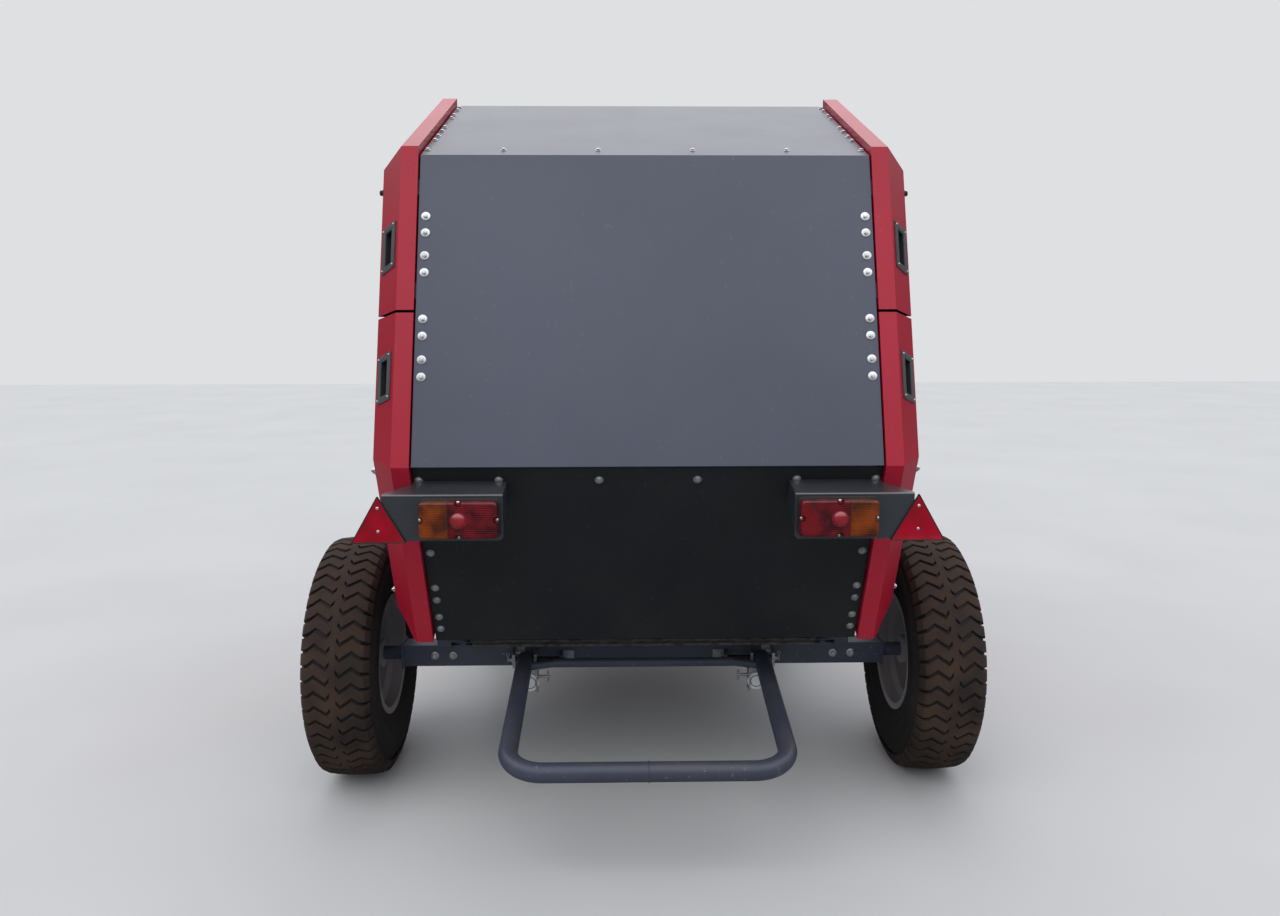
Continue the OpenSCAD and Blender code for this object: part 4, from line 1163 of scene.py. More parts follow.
def panel_slopes() -> dict[str, Slope]:
    """Reads the tailgate's three faces from the frame.

    Returns:
        Each face by its name.
    """
    roof, main, low = (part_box("gate_%s_panel" % name) for name in ("roof", "main", "lower"))
    y = AXLE.y
    crest = (roof[0].y - y, main[1].z)
    return {
        "roof": Slope((roof[1].y - y, roof[1].z), crest),
        "main": Slope(crest, (main[0].y - y, main[0].z)),
        "low": Slope((low[0].y - y, low[1].z), (low[1].y - y - SHEET_RUN, low[0].z))}


SLOPES = panel_slopes()


# Sub-assemblies.


@dataclass
class Softener:
    """Gives sharp CAD sheets and bars the small radii of folded and cut steel."""

    node: str
    body: str
    slot: str
    fold: float = 0.004
    edge: float = 0.0007
    steps: int = 2
    finish: str = ""
    nose: float = 0.0

    def build(self) -> bpy.types.Object:
        """Builds the piece that stands for the node.

        Returns:
            The piece.
        """
        work = Work.node(self.node)
        if self.nose:
            low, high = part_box(self.node)
            work.pick(
                lambda c, d: abs(d.x) > 0.9 and c.y < low.y + 0.002 and c.z > (low.z + high.z) / 2, Pick.EDGE)
            work.bevel(self.nose, 4)
        if self.fold:
            work.pick_folds(*FOLDS).bevel(self.fold, 3)
        work.pick_folds(*CORNERS).bevel(self.edge, self.steps)
        work.dress(self.finish or self.slot)
        piece = finish_piece(work, self.node + "_skin", self.body, SHEET_SMOOTH, flats=True)
        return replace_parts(piece, self.node)


SHEETS = (
    Softener("shield_upper_left", "tailgate", "red_paint"),
    Softener("shield_upper_right", "tailgate", "red_paint"),
    Softener("shield_lower_left", "wing_left", "red_paint"),
    Softener("shield_lower_right", "wing_right", "red_paint"),
    Softener("front_door_left", "door_left", "red_paint"),
    Softener("front_door_right", "door_right", "red_paint"),
    Softener("gate_roof_panel", "tailgate", "grey_paint", 0.0, 0.0008),
    Softener("gate_main_panel", "tailgate", "grey_paint", 0.0, 0.0008),
    # The lower panel's darker finish is painted shade
    Softener("gate_lower_panel", "tailgate", "grey_paint", 0.0, 0.0008, finish="low_paint"),
    Softener("lamp_brackets", "tailgate", "grey_paint", 0.0, 0.0010, finish="bracket_paint", nose=0.0045),
    Softener("front_cover", "chassis", "grey_paint", 0.006, 0.0008),
    Softener("twine_box", "chassis", "red_paint", 0.004, 0.0015),
    Softener("twine_lid", "twine_lid", "red_paint", 0.004, 0.0010))
FRAMES = (
    Softener("axle", "chassis", "frame_paint", 0.0, 0.0035, 3),
    Softener("chassis_frame", "chassis", "frame_paint", 0.003, 0.0030),
    Softener("drawbar", "chassis", "red_paint", 0.0, 0.0050, 3),
    Softener("towing_eye", "chassis", "cast", 0.0, 0.0050, 3),
    Softener("gearbox", "chassis", "cast", 0.0, 0.0070, 3),
    Softener("jack_leg", "jack_leg", "zinc", 0.0, 0.0015),
    Softener("ramp_brackets", "chassis", "zinc", 0.0, 0.0009))


@dataclass
class Tyre:
    """A road tyre: a lathed carcass and zigzag tread blocks in two staggered rows."""

    side: Side
    rows: int = 52
    groove: float = 0.0135
    depth: float = 0.010
    root: float = 0.006
    edge: float = 0.0016
    rib: float = 0.010
    bead: float = 0.202

    def carcass(self, radius: float, width: float) -> Work:
        """Lathes the carcass.

        Args:
            radius: outer radius of the tread.
            width: section width of the tyre.

        Returns:
            The work, about the Z axis.
        """
        floor = radius - self.depth
        half = width / 2
        outer = [
            (self.bead, 0.092), (self.bead + 0.012, 0.0965), (self.bead + 0.024, 0.098), (0.238, 0.1035),
            (0.252, 0.1095), (0.262, 0.1135), (0.268, 0.1150), (0.272, 0.1158), (0.276, 0.1150),
            (0.300, half - 0.0035), (0.318, half - 0.0006), (0.330, half), (0.345, half - 0.0016),
            (0.362, half - 0.0065), (0.376, 0.1090), (0.388, 0.1020), (0.396, 0.0960),
            (floor - 0.008, 0.0880), (floor - 0.002, 0.0700), (floor, 0.0300), (floor, self.rib),
            (radius, self.rib)]
        inner = [(0.388, 0.0), (0.380, 0.085), (0.340, 0.105), (0.260, 0.085), (self.bead, 0.062)]
        other = [(r, -z) for r, z in inner[1:] + outer]
        return Work.lathe(outer + [(radius, 0.0)] + other[::-1] + inner + outer[:1], 96)

    def block(self, radius: float, length: float) -> Work:
        """Shapes one tread block, lying on the top of the wheel with its length along Y.

        Args:
            radius: outer radius of the tread.
            length: length of the block along the tread.

        Returns:
            The work.
        """
        columns = [0.003, 0.023, 0.062, 0.086, 0.1000, 0.1135]
        zigzag = [0.013, -0.013, 0.013, -0.004, -0.007, -0.007]
        drop = [0.0, 0.0003, 0.0026, 0.0052, 0.0110, 0.0330]
        release()
        bpy.ops.mesh.primitive_grid_add(
            x_subdivisions=len(columns) - 1, y_subdivisions=2, size=1.0, location=(0, 0, 0))
        work = Work(bpy.context.object)
        count = len(columns) - 1
        for i, (x, lean, fall) in enumerate(zip(columns, zigzag, drop)):
            here = i / count - 0.5
            work.pick(lambda c, n, here=here: abs(c.x - here) < 1e-4 and abs(c.z) < 1e-6, Pick.POINT)
            work.move((x - here - 1.0, lean / length, radius - fall))
        work.pick_all(Pick.POINT).move((1.0, 0, 0)).grow((1.0, length, 1.0), (0, 0, 0))
        sag = radius * (1 - math.cos(length / 2 / radius))
        for end in (-1, 1):
            work.pick(lambda c, n, end=end: c.y * end > length * 0.28, Pick.POINT).move((0, 0, -sag))
        work.pick_all().extrude((0, 0, -self.depth - self.root)).heal()
        return work.rim(lambda c, n: n.z > 0.3).bevel(self.edge, 1)

    def build(self) -> None:
        """Builds the tyre and stands it in for the CAD solid."""
        node = self.side.of("tyre")
        low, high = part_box(node)
        centre = (low + high) / 2
        radius = (high.z - low.z) / 2
        pitch = TURN / self.rows
        block = self.block(radius, pitch * radius - self.groove)
        carcass = self.carcass(radius, high.x - low.x).turned(Z_TO_X).dress("tyre")
        carcass.tint(lambda c, n: math.hypot(c.y, c.z) > radius - self.depth * 0.6, "tread")
        places = []
        for i in range(self.rows):
            places.append(Matrix.Rotation(i * pitch, 4, "X"))
            places.append(Matrix.Rotation((i + 0.5) * pitch, 4, "X") @ MIRROR)
        tyre = joined([carcass] + block.dress("tread").stamped(places)).turned(shift(*centre))
        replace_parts(finish_piece(tyre, node + "_tread", self.side.of("wheel"), 34.0), node)


@dataclass
class WheelTrim:
    """Stud ends on the wheel nuts, and the tyre valve."""

    side: Side
    studs: int = 6
    stud_ring: float = 0.072
    stud_r: float = 0.0065
    stud_l: float = 0.014
    valve_r: float = 0.172
    face: float = 0.032

    def build(self) -> None:
        """Builds the trim on the outer side of one wheel."""
        node = self.side.of("rim")
        stud = Work.disc(self.stud_r, self.stud_l, 14, (0, 0, self.face + 0.006))
        stud.pick(looks_up).inset(0.0012, 0.001)
        parts = stud.heal().dress("zinc").stamped(
            Matrix.Rotation(i * TURN / self.studs, 4, "Z") @ shift(self.stud_ring, 0, 0)
            for i in range(self.studs))
        parts.append(VALVE.model().turned(shift(self.valve_r, 0, 0)))
        out = Matrix.Rotation(self.side.value * math.pi / 2, 4, "Y")
        trim = joined(parts).turned(shift(*middle(node)) @ out)
        finish_piece(trim, node + "_trim", self.side.of("wheel"))


@dataclass(frozen=True)
class PanelBolts:
    """The bolts of one rear panel: a row across it and a row down each side."""

    slope: str
    name: str
    bolt: Fastener | DomeHead
    side_x: float
    along: tuple[float, ...]
    row: float = 0.0
    row_x: tuple[float, ...] = ()

    def build(self) -> None:
        """Builds the panel's bolts as one piece on the tailgate."""
        slope = SLOPES[self.slope]
        spots = [slope.spot(side * x, self.row) for side in (-1, 1) for x in self.row_x]
        spots += [slope.spot(side * self.side_x, along) for side in (-1, 1) for along in self.along]
        finish_piece(self.bolt.model().spread(spots), self.name, "tailgate")


PANELS = (
    PanelBolts("main", "main_panel_bolts", PANEL_BOLT, 0.663,
               (0.198, 0.250, 0.322, 0.375, 0.519, 0.571, 0.643, 0.695)),
    PanelBolts("roof", "roof_bolts", ROOF_BOLT, 0.674,
               (0.045, 0.095, 0.190, 0.248, 0.405, 0.470, 0.548, 0.612), 0.752, (0.147, 0.440, 0.674)),
    PanelBolts("low", "lower_panel_bolts", BIG_DOME, 0.665,
               (0.309, 0.448, 0.498, 0.569, 0.619), 0.041, (0.144, 0.437, 0.670)))


@dataclass
class TailLamp:
    """A pair of two-colour tail lamps, each a dark housing under a fluted lens with a round dome."""

    node: str = "tail_lamps"
    width: float = 0.228
    height: float = 0.112
    margin: float = 0.004
    foot: float = 0.016
    dome: float = 0.012
    corner: float = 0.016
    edge: float = 0.0055
    amber: float = 0.37
    line_half: float = 0.0008
    dome_r: float = 0.0215
    notch_r: float = 0.0105
    screw_in: float = 0.007
    screw_sunk: float = 0.0125

    def housing(self) -> Work:
        """Models the housing, with its back at the origin and Z to the rear.

        Returns:
            The work.
        """
        case = Work.box((self.width, self.height, self.foot), (0, 0, self.foot / 2))
        case.pick(runs_up, Pick.EDGE).bevel(self.corner, 5)
        case.rim(looks_up).bevel(0.0025, 2)
        return case.dress("black_plastic")

    def screw_places(self) -> list[Pair]:
        """Gives the places of the four lens screws."""
        x, y = self.width / 2 - self.screw_in, self.height / 2 - self.screw_in
        return [(0.0, y), (0.0, -y), (x, 0.0), (-x, 0.0)]

    def lens(self, face: float) -> Work:
        """Models the lens, with notches for its screws.

        Args:
            face: distance from the bracket to the lens' face.

        Returns:
            The work in two colours, parted by a dark line.
        """
        w, h = self.width - 2 * self.margin, self.height - 2 * self.margin
        lens = Work.box((w, h, face - self.foot), (0, 0, (face + self.foot) / 2))
        lens.pick(runs_up, Pick.EDGE).bevel(self.corner - 0.003, 6)
        lens.rim(looks_up).bevel(self.edge, 3)
        lens.pick(looks_up).inset(0.0035, 0.0008)
        bpy.ops.object.mode_set(mode="OBJECT")
        lens.cut([Work.disc(self.notch_r, 0.04, 20, (x, y, face + 0.008)) for x, y in self.screw_places()])
        line = self.width * (0.5 - self.amber)
        for side in (-1, 1):
            lens.bisect((line + side * self.line_half, 0, 0), (1, 0, 0))
        lens.dress("lamp_lens")
        lens.tint(lambda c, n: c.x > line, "amber_lens")
        return lens.tint(lambda c, n: abs(c.x - line) < 0.9 * self.line_half, "black_plastic")

    def build(self) -> None:
        """Builds both lamps as the piece that stands for the CAD solids."""
        low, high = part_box(self.node)
        depth = high.y - low.y
        face = depth - self.dome
        parts = [self.housing(), self.lens(face)]
        foot, rim = face + 0.001, self.dome_r + 0.002
        bulge = [(0.0, face - 0.004), (rim, face - 0.004), (rim, foot)]
        bulge += dome(self.dome_r, foot, self.dome - 0.001, 6) + [(0.0, depth)]
        parts.append(Work.lathe(bulge, 32).dress("dome_lens"))
        parts += CAP_SCREW.model().stamped(
            shift(x, y, face - self.screw_sunk) for x, y in self.screw_places())
        place = facing(Vector((high.x - self.width / 2, high.y, (low.z + high.z) / 2)), -AHEAD)
        lamps = joined(parts).spread(both_sides([place]))
        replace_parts(finish_piece(lamps, "tail_lamp_pair", "tailgate", SHEET_SMOOTH), self.node)


@dataclass
class WarningTriangle:
    """The two red reflector triangles, prismatic plates with a dark edge and two screws each."""

    node: str = "reflector_triangles"
    side: float = 0.157
    corner: float = 0.004
    border: float = 0.0030
    sunk: float = 0.0012
    screws: Pair = (0.25, 0.74)

    def build(self) -> None:
        """Builds both triangles as the piece that stands for the CAD plates."""
        low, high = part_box(self.node)
        thick = high.y - low.y
        tall = high.z - low.z
        plate = Work.disc(self.side / math.sqrt(3), thick, 3, (0, 0, thick / 2))
        plate.pick(runs_up, Pick.EDGE).bevel(self.corner, 3)
        plate.pick(looks_up).inset(self.border, -self.sunk)
        plate.dress("black_plastic")
        plate.tint(lambda c, n: n.z > 0.9 and c.z < thick - 0.001, "reflector")
        parts = [plate] + CAP_SCREW.model().stamped(
            shift(0, share * tall - tall / 3, thick - self.sunk) for share in self.screws)
        place = facing(Vector((high.x - self.side / 2, high.y, low.z + tall / 3)), -AHEAD)
        pair = joined(parts).spread(both_sides([place]))
        piece = finish_piece(pair, "triangle_pair", "tailgate", SHEET_SMOOTH)
        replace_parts(piece, self.node)


@dataclass
class Grip:
    """A moulded grip frame sunk in a shield's rear bevel."""

    side: Side
    name: str
    body: str
    height: float
    outer: Pair = (0.101, 0.147)
    opening: Pair = (0.050, 0.106)
    depth: float = 0.030
    flange: float = 0.004
    corner: float = 0.005
    wall: float = 0.0025
    screw_in: float = 0.010
    strip_w: float = 0.052
    bevel: Pair = (0.081, 0.121)
    proud: float = 0.006

    def place(self) -> Matrix:
        """Gives the matrix of the middle of the opening, with Z out of the bevel and Y up it.

        Returns:
            The matrix.
        """
        slope = SLOPES["main"]
        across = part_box("shield_upper_right")[0].x + self.strip_w + self.bevel[0] / 2
        lift = self.proud - self.bevel[1] / 2
        crest = at(0, *slope.upper) + slope.out() * lift
        along = (self.height - crest.z) / slope.down().z
        out = slope.out() * self.bevel[0] + RIGHT * self.bevel[1]
        place = crest + slope.down() * along + Vector((across, 0, 0))
        return self.side.spot(facing(place, out, -slope.down()))

    def build(self) -> None:
        """Builds the frame with its pocket and four screws."""
        w, h = self.outer
        u, v = self.opening
        flange = Work.box((w, h, self.flange), (0, 0, self.flange / 2))
        flange.pick(runs_up, Pick.EDGE).bevel(self.corner, 3)
        flange.cut([Work.box((u, v, 4 * self.flange))])
        flange.bevel_all(0.0012, 2).dress("grip_plastic")
        wall = self.wall
        pocket = Work.box((u + 2 * wall, v + 2 * wall, self.depth), (0, 0, -self.depth / 2))
        pocket.cut([Work.box((u, v, self.depth), (0, 0, wall - self.depth / 2))])
        pocket.dress("black_plastic")
        a, b = w / 2 - self.screw_in, h / 2 - self.screw_in
        corners = ((-a, -b), (-a, b), (a, -b), (a, b))
        screws = SMALL_SCREW.model().stamped(shift(x, y, self.flange) for x, y in corners)
        grip = joined([flange, pocket] + screws).turned(self.place())
        finish_piece(grip, self.side.of(self.name), self.body, 28.0)


@dataclass
class ShieldTrim:
    """Bolt heads and rubber buffers on the outer faces of the side shields."""

    side: Side
    buffers: tuple[Pair, ...] = ((-0.322, 2.05),)
    bolts: tuple[Pair, ...] = ((-0.555, 1.20), (-0.352, 0.770))

    def build(self) -> None:
        """Builds the trim of one side."""
        buffers = BUFFER.model().spread(on_shield(self.side, self.buffers))
        finish_piece(buffers, self.side.of("buffer"), "tailgate")
        heads = FRAME_BOLT.model().spread(on_shield(self.side, self.bolts))
        finish_piece(heads, self.side.of("shield_bolts"), self.side.of("wing"))


@dataclass
class AxleFasteners:
    """The bolts that clamp the rails to the axle."""

    places: tuple[float, ...] = (0.700, 0.766)

    def build(self) -> None:
        """Builds the fasteners of the axle."""
        low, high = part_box("axle")
        spots = [
            facing(Vector((x, AXLE.y - AXLE_HALF, (low.z + high.z) / 2)), -AHEAD) for x in self.places]
        finish_piece(FRAME_BOLT.model().spread(both_sides(spots)), "axle_bolts", "chassis")


@dataclass
class RampMount:
    """Clamp straps, inner ears, pins and ringed discs where the bale ramp hangs on the axle."""

    strap: tuple[float, float, float] = (0.042, 0.070, 0.004)
    strap_x: float = 0.456
    pad: Pair = (0.042, 0.040)
    pad_x: float = 0.276
    ear_x: float = 0.300
    ear_r: float = 0.021
    ear_t: float = 0.008
    eye_r: float = 0.0055
    pivot: Pair = (-0.080, 0.428)
    pin_r: float = 0.010
    pin_l: float = 0.086
    pin_x: float = 0.045
    split_out: float = 0.018
    outer_ear: float = 0.476
    disc: tuple[float, float, float] = (0.420, -0.031, 0.320)
    disc_r: float = 0.033
    ring: Pair = (0.0200, 0.0225)

    def ear(self) -> Work:
        """Models the inner ear, rounded about the pivot.

        Returns:
            The work.
        """
        reach = -self.pivot[0] - AXLE_HALF + self.ear_r
        place = at(self.ear_x + self.ear_t / 2, -AXLE_HALF - reach / 2, self.pivot[1])
        ear = Work.box((self.ear_t, reach, 2 * self.ear_r), place)
        edge = AXLE.y + self.pivot[0]
        ear.pick(lambda c, d: abs(d.x) > 0.9 and c.y < edge, Pick.EDGE).bevel(self.ear_r * 0.98, 8)
        return ear.dress("frame_paint")

    def split_pin(self) -> Work:
        """Models a split pin, with its eye up and its legs along -Z.

        Returns:
            The work.
        """
        eye = [(x, 0.0, z) for x, z in round_circle(self.eye_r, 12, -1.2)[1:-1]]
        legs = [(0.0016, 0, -0.030), (0.0016, 0, -0.006), (-0.0016, 0, -0.006), (-0.003, 0, -0.027)]
        return Work.tube(legs[:2] + eye + legs[2:], 0.0013, 8).dress("zinc")

    def target(self) -> Work:
        """Models the white disc with its dark ring, Z outward.

        Returns:
            The work.
        """
        r = self.disc_r
        plate = Work.lathe([(0, 0), (r, 0), (r, 0.0015), (r - 0.0025, 0.0022), (0, 0.0022)], 40)
        near, far = self.ring
        ring = Work.lathe([(near, 0.002), (near, 0.003), (far, 0.003), (far, 0.002), (near, 0.002)], 40)
        return joined([plate.dress("white_plastic"), ring.dress("black_plastic")])

    def build(self) -> None:
        """Builds both mounts as one piece on the chassis."""
        w, h, t = self.strap
        ahead, height = self.pivot
        parts = [self.ear()]
        for x, wide, tall in ((self.strap_x, w, h), (self.pad_x, *self.pad)):
            plate = Work.box((wide, t, tall), at(x, -AXLE_HALF - t / 2, height))
            parts.append(plate.bevel_all(0.0012).dress("plate_zinc"))
        pin = Work.disc(self.pin_r, self.pin_l, 24).turned(Z_TO_X).dress("black_plastic")
        parts.append(pin.turned(shift(*at(self.ear_x + self.pin_x, ahead, height))))
        parts += FRAME_BOLT.model().stamped([
            facing(at(self.strap_x + 0.004, -AXLE_HALF - t, height + 0.002), -AHEAD),
            facing(at(self.outer_ear, ahead, height), RIGHT),
            facing(at(self.ear_x, ahead, height), -RIGHT)])
        out = self.split_out
        parts += self.split_pin().stamped(
            shift(*at(x, ahead, height + out)) for x in (self.outer_ear + out, self.ear_x - out))
        parts.append(self.target().turned(facing(at(*self.disc), -AHEAD)))
        mounts = joined(parts).spread(both_sides([Matrix.Identity(4)]))
        finish_piece(mounts, "ramp_mounts", "chassis")


@dataclass
class RampWeld:
    """The rippled weld bead round the middle of the bale ramp's bar."""

    bead: float = 0.0022
    tube_r: float = 0.030
    steps: int = 72
    ripples: int = 24
    ripple: float = 0.0005

    def build(self) -> None:
        """Builds the bead on the ramp."""
        low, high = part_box("ramp")
        path = []
        for i in range(self.steps + 1):
            turn = TURN * i / self.steps
            swell = self.tube_r + self.ripple * math.sin(turn * self.ripples)
            path.append((0.0, swell * math.cos(turn), swell * math.sin(turn)))
        bead = Work.tube(path, self.bead, 8).dress("frame_paint")
        bead.turned(shift(0, low.y + self.tube_r, low.z + self.tube_r))
        finish_piece(bead, "ramp_weld", "ramp", 50.0)


@dataclass
class Bearings:
    """Locking collars, bolts and grease nipples on the housings of the chamber rollers."""

    centre: Pair = (0.300, 1.300)
    ring_r: float = 0.810
    face: float = 0.6465
    bolt_ring: float = 0.043
    nipple: float = 0.046
    front: tuple[int, ...] = (261, 281, 301, 341, 361, 381, 401, 421, 441)
    rear: tuple[int, ...] = (101, 121, 141, 161, 181, 201, 221, 241)

    def model(self) -> Work:
        """Models the fittings of one housing, with Z outward.

        Returns:
            The work.
        """
        bolts = BEARING_BOLT.model().stamped(
            Matrix.Rotation(TURN * (i + 0.5) / 4, 4, "Z") @ shift(self.bolt_ring, 0, 0) for i in range(4))
        return joined([COLLAR.model()] + bolts + [NIPPLE.model().turned(shift(0, self.nipple, 0))])

    def build(self) -> None:
        """Builds the fittings of the front walls and of the tailgate."""
        for name, body, angles in (("front", "chassis", self.front), ("rear", "tailgate", self.rear)):
            places = []
            for angle in angles:
                places += on_flanks(self.face, self.centre, self.ring_r, 1, math.radians(angle))
            finish_piece(self.model().spread(places), name + "_bearings", body)


@dataclass
class TineRows:
    """The coil spring at the root of every pickup tine and the clamp beside it."""

    per_row: int = 20
    rows: int = 4
    pitch: float = 0.070
    bar_ring: float = 0.155
    wire: float = 0.0027
    coil: float = 0.0168
    start: float = 0.003
    lead: float = 0.0062
    turns: int = 3

    def model(self) -> Work:
        """Models one coil round a bar that lies along X, with its free end held by a small clamp.

        Returns:
            The work.
        """
        path = []
        for i in range(self.turns * 12 + 1):
            turn = TURN * i / 12
            x = self.start + i / 12 * self.lead
            path.append((x, self.coil * math.cos(turn), self.coil * math.sin(turn)))
        coil = Work.tube(path, self.wire, 8).dress("spring_steel")
        clamp = Work.box((0.012, 0.010, 0.012), (0.029, 0.0, self.coil)).bevel_all(0.0015)
        return joined([coil, clamp.dress("zinc")])

    def build(self) -> None:
        """Builds every coil as one piece on the reel."""
        centre = middle("pickup_reel")
        places = []
        for row in range(self.rows):
            turn = Matrix.Rotation(TURN * row / self.rows, 4, "X")
            for i in range(self.per_row):
                x = (i - (self.per_row - 1) / 2) * self.pitch
                places.append(shift(*centre) @ turn @ shift(x, self.bar_ring, 0))
        finish_piece(self.model().spread(places), "tine_springs", "reel", 60.0)


@dataclass
class PickupFrame:
    """The pickup's frame with broken edges, and its reel bores opened to a running fit."""

    node: str = "pickup_frame"
    reel: Pair = (1.330, 0.500)
    bore: float = 0.020
    play: float = 0.0006
    edge: float = 0.0010

    def build(self) -> None:
        """Builds the piece that stands for the CAD solids."""
        work = Work.node(self.node)
        axis = at(0.0, *self.reel)
        work.pick(
            lambda c, n: abs(math.hypot(c.y - axis.y, c.z - axis.z) - self.bore) < self.play, Pick.POINT)
        share = 1 + self.play / self.bore
        work.grow((1, share, share), axis)
        work.pick_folds(*CORNERS).bevel(self.edge, 1)
        work.dress("red_paint")
        piece = finish_piece(work, "pickup_frame_skin", "pickup", SHEET_SMOOTH, flats=True)
        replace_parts(piece, self.node)


@dataclass
class PickupTrim:
    """Band bolts, bearing bolts on the side plates and the gauge wheels' caps."""

    reel: Pair = (1.330, 0.500)
    band_r: float = 0.215
    bands: int = 21
    pitch: float = 0.070
    band_back: float = 0.250
    plate_x: float = 0.770
    plate_ring: float = 0.055
    gauge: Pair = (1.355, 0.307)
    gauge_out: float = 0.886

    def build(self) -> None:
        """Builds the bolts on the pickup and a cap on each gauge wheel's pin."""
        y, z = self.reel
        spots = []
        for i in range(1, self.bands - 1):
            x = (i - (self.bands - 1) / 2) * self.pitch
            for way in (1, -1):
                place = at(x, y - self.band_back, z + way * self.band_r)
                spots.append(facing(place, way * UP, AHEAD))
        bands = BAND_HEAD.model().stamped(spots)
        plates = BEARING_BOLT.model().stamped(
            on_flanks(self.plate_x, self.reel, self.plate_ring, 4, TURN / 8))
        caps = PIN_CAP.model().stamped(both_sides([facing(at(self.gauge_out, *self.gauge), RIGHT)]))
        finish_piece(joined(bands + plates + caps), "pickup_bolts", "pickup")


@dataclass
class Gearing:
    """The gearbox's cover bolts, filler and breather."""

    centre: Pair = (1.422, 1.030)
    boss: float = 0.165
    boss_ring: float = 0.055
    flange: Pair = (0.128, 0.108)
    flange_face: float = -0.104
    input_face: float = 0.144
    input_ring: float = 0.046
    top: float = 0.130
    plug: Pair = (0.07, 0.03)
    breather: Pair = (-0.06, -0.04)

    def build(self) -> None:
        """Builds the fasteners and plugs as one piece."""
        y, z = self.centre
        spots = on_flanks(self.boss, self.centre, self.boss_ring, 6)
        half, tall = self.flange
        for x in (-half, half):
            spots += [facing(at(x, y + self.flange_face, z + rise), AHEAD) for rise in (-tall, 0.0, tall)]
        for x, rise in round_circle(self.input_ring, 4, TURN / 8):
            spots.append(facing(at(x, y + self.input_face, z + rise), AHEAD))
        parts = BEARING_BOLT.model().stamped(spots)
        for fitting, (x, ahead) in ((OIL_PLUG, self.plug), (BREATHER, self.breather)):
            parts.append(fitting.model().turned(shift(*at(x, y + ahead, z + self.top))))
        finish_piece(joined(parts), "gearbox_fittings", "chassis")


@dataclass
class ShaftGuard:
    """The drive shaft's guard: two telescoping tubes with a ribbed cone at each end."""

    node: str = "pto_guard"
    rear: tuple[float, float, float] = (0.0, 1.620, 1.030)
    front: tuple[float, float, float] = (0.0, 2.620, 0.800)
    gap: float = 0.070
    tube_r: float = 0.045
    cone_r: float = 0.080
    cone_l: float = 0.090
    ribs: int = 6
    bore: float = 0.0235

    def cone(self) -> list[Pair]:
        """Gives the outline of the ribbed cone at the start, from its mouth to the tube.

        Returns:
            Pairs of radius and height.
        """
        points = []
        step = self.cone_l / self.ribs
        fall = (self.cone_r - self.tube_r) / self.ribs
        for i in range(self.ribs):
            r, z = self.cone_r - i * fall, i * step
            low = r - fall * 0.85
            points += [(r, z), (r, z + step * 0.45), (low, z + step * 0.62), (low, z + step * 0.9)]
        return points

    def build(self) -> None:
        """Builds the guard in place of the CAD solid."""
        a, b = at(*self.rear), at(*self.front)
        along = (b - a).normalized()
        length = (b - a).length - 2 * self.gap
        middle_z = length * 0.45
        mouth, inner, outer = self.cone_r - 0.004, self.tube_r - 0.002, self.tube_r + 0.001
        back = [(self.bore, 0.058), (0.040, 0.058), (0.040, 0.004), (mouth, 0.004), (mouth, 0.0)]
        near = back + self.cone() + [(inner, self.cone_l), (inner, middle_z)]
        near += [(outer, middle_z + 0.001), (outer, middle_z + 0.014)]
        far = [(r, length - z) for r, z in reversed(back + self.cone() + [(self.tube_r, self.cone_l)])]
        outline = near + [(self.tube_r, middle_z + 0.016)] + far
        work = Work.lathe(outline + [outline[0]], 56).dress("black_plastic")
        work.turned(facing(a + along * self.gap, along))
        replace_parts(finish_piece(work, "shaft_guard", "chassis", 35.0), self.node)


@dataclass
class BoxTrim:
    """The twine box's lid handle and its two rubber latches."""

    front: float = 1.600
    lid_front: float = 1.608
    lip: Pair = (1.754, 1.780)
    latch_x: float = 0.360

    def handle(self) -> Work:
        """Models a bow handle across the machine, with its feet at the origin and Y forward.

        Returns:
            The work.
        """
        w, d = 0.070, 0.030
        path = [(-w, -0.002, 0), (-w, d * 0.6, 0), (-w + 0.006, d * 0.9, 0), (-w + 0.016, d, 0),
                (w - 0.016, d, 0), (w - 0.006, d * 0.9, 0), (w, d * 0.6, 0), (w, -0.002, 0)]
        bow = Work.tube(path, 0.006, 12).dress("black_plastic")
        return joined([bow] + HANDLE_FOOT.model().stamped(facing(x * RIGHT, AHEAD) for x in (-w, w)))

    def latch(self) -> Work:
        """Models a rubber latch: a plate, a waisted strap and its T-shaped end, with Y forward and Z up.

        Returns:
            The work.
        """
        plate = Work.box((0.036, 0.005, 0.050), (0, 0.0025, -0.050)).bevel_all(0.002)
        strap = Work.box((0.022, 0.007, 0.060), (0, 0.0075, -0.020))
        strap.bisect((0, 0, -0.020), (0, 0, 1))
        strap.pick(lambda c, n: abs(c.z + 0.020) < 0.001, Pick.POINT).grow((0.6, 1, 1), (0, 0.0075, -0.020))
        strap.bevel_all(0.002)
        grip = Work.disc(0.006, 0.044, 16).turned(shift(0, 0.009, 0.010) @ Z_TO_X)
        return joined([plate.dress("zinc"), strap.dress("solid_rubber"), grip.dress("solid_rubber")])

    def build(self) -> None:
        """Builds the handle on the lid and the latches on the box."""
        handle = self.handle().turned(shift(*at(0, self.lid_front, sum(self.lip) / 2)))
        finish_piece(handle, "lid_handle", "twine_lid")
        low = self.lip[0] - 0.030
        latches = self.latch().spread(
            shift(*at(x, self.front, low)) for x in (-self.latch_x, self.latch_x))
        finish_piece(latches, "box_latches", "chassis")


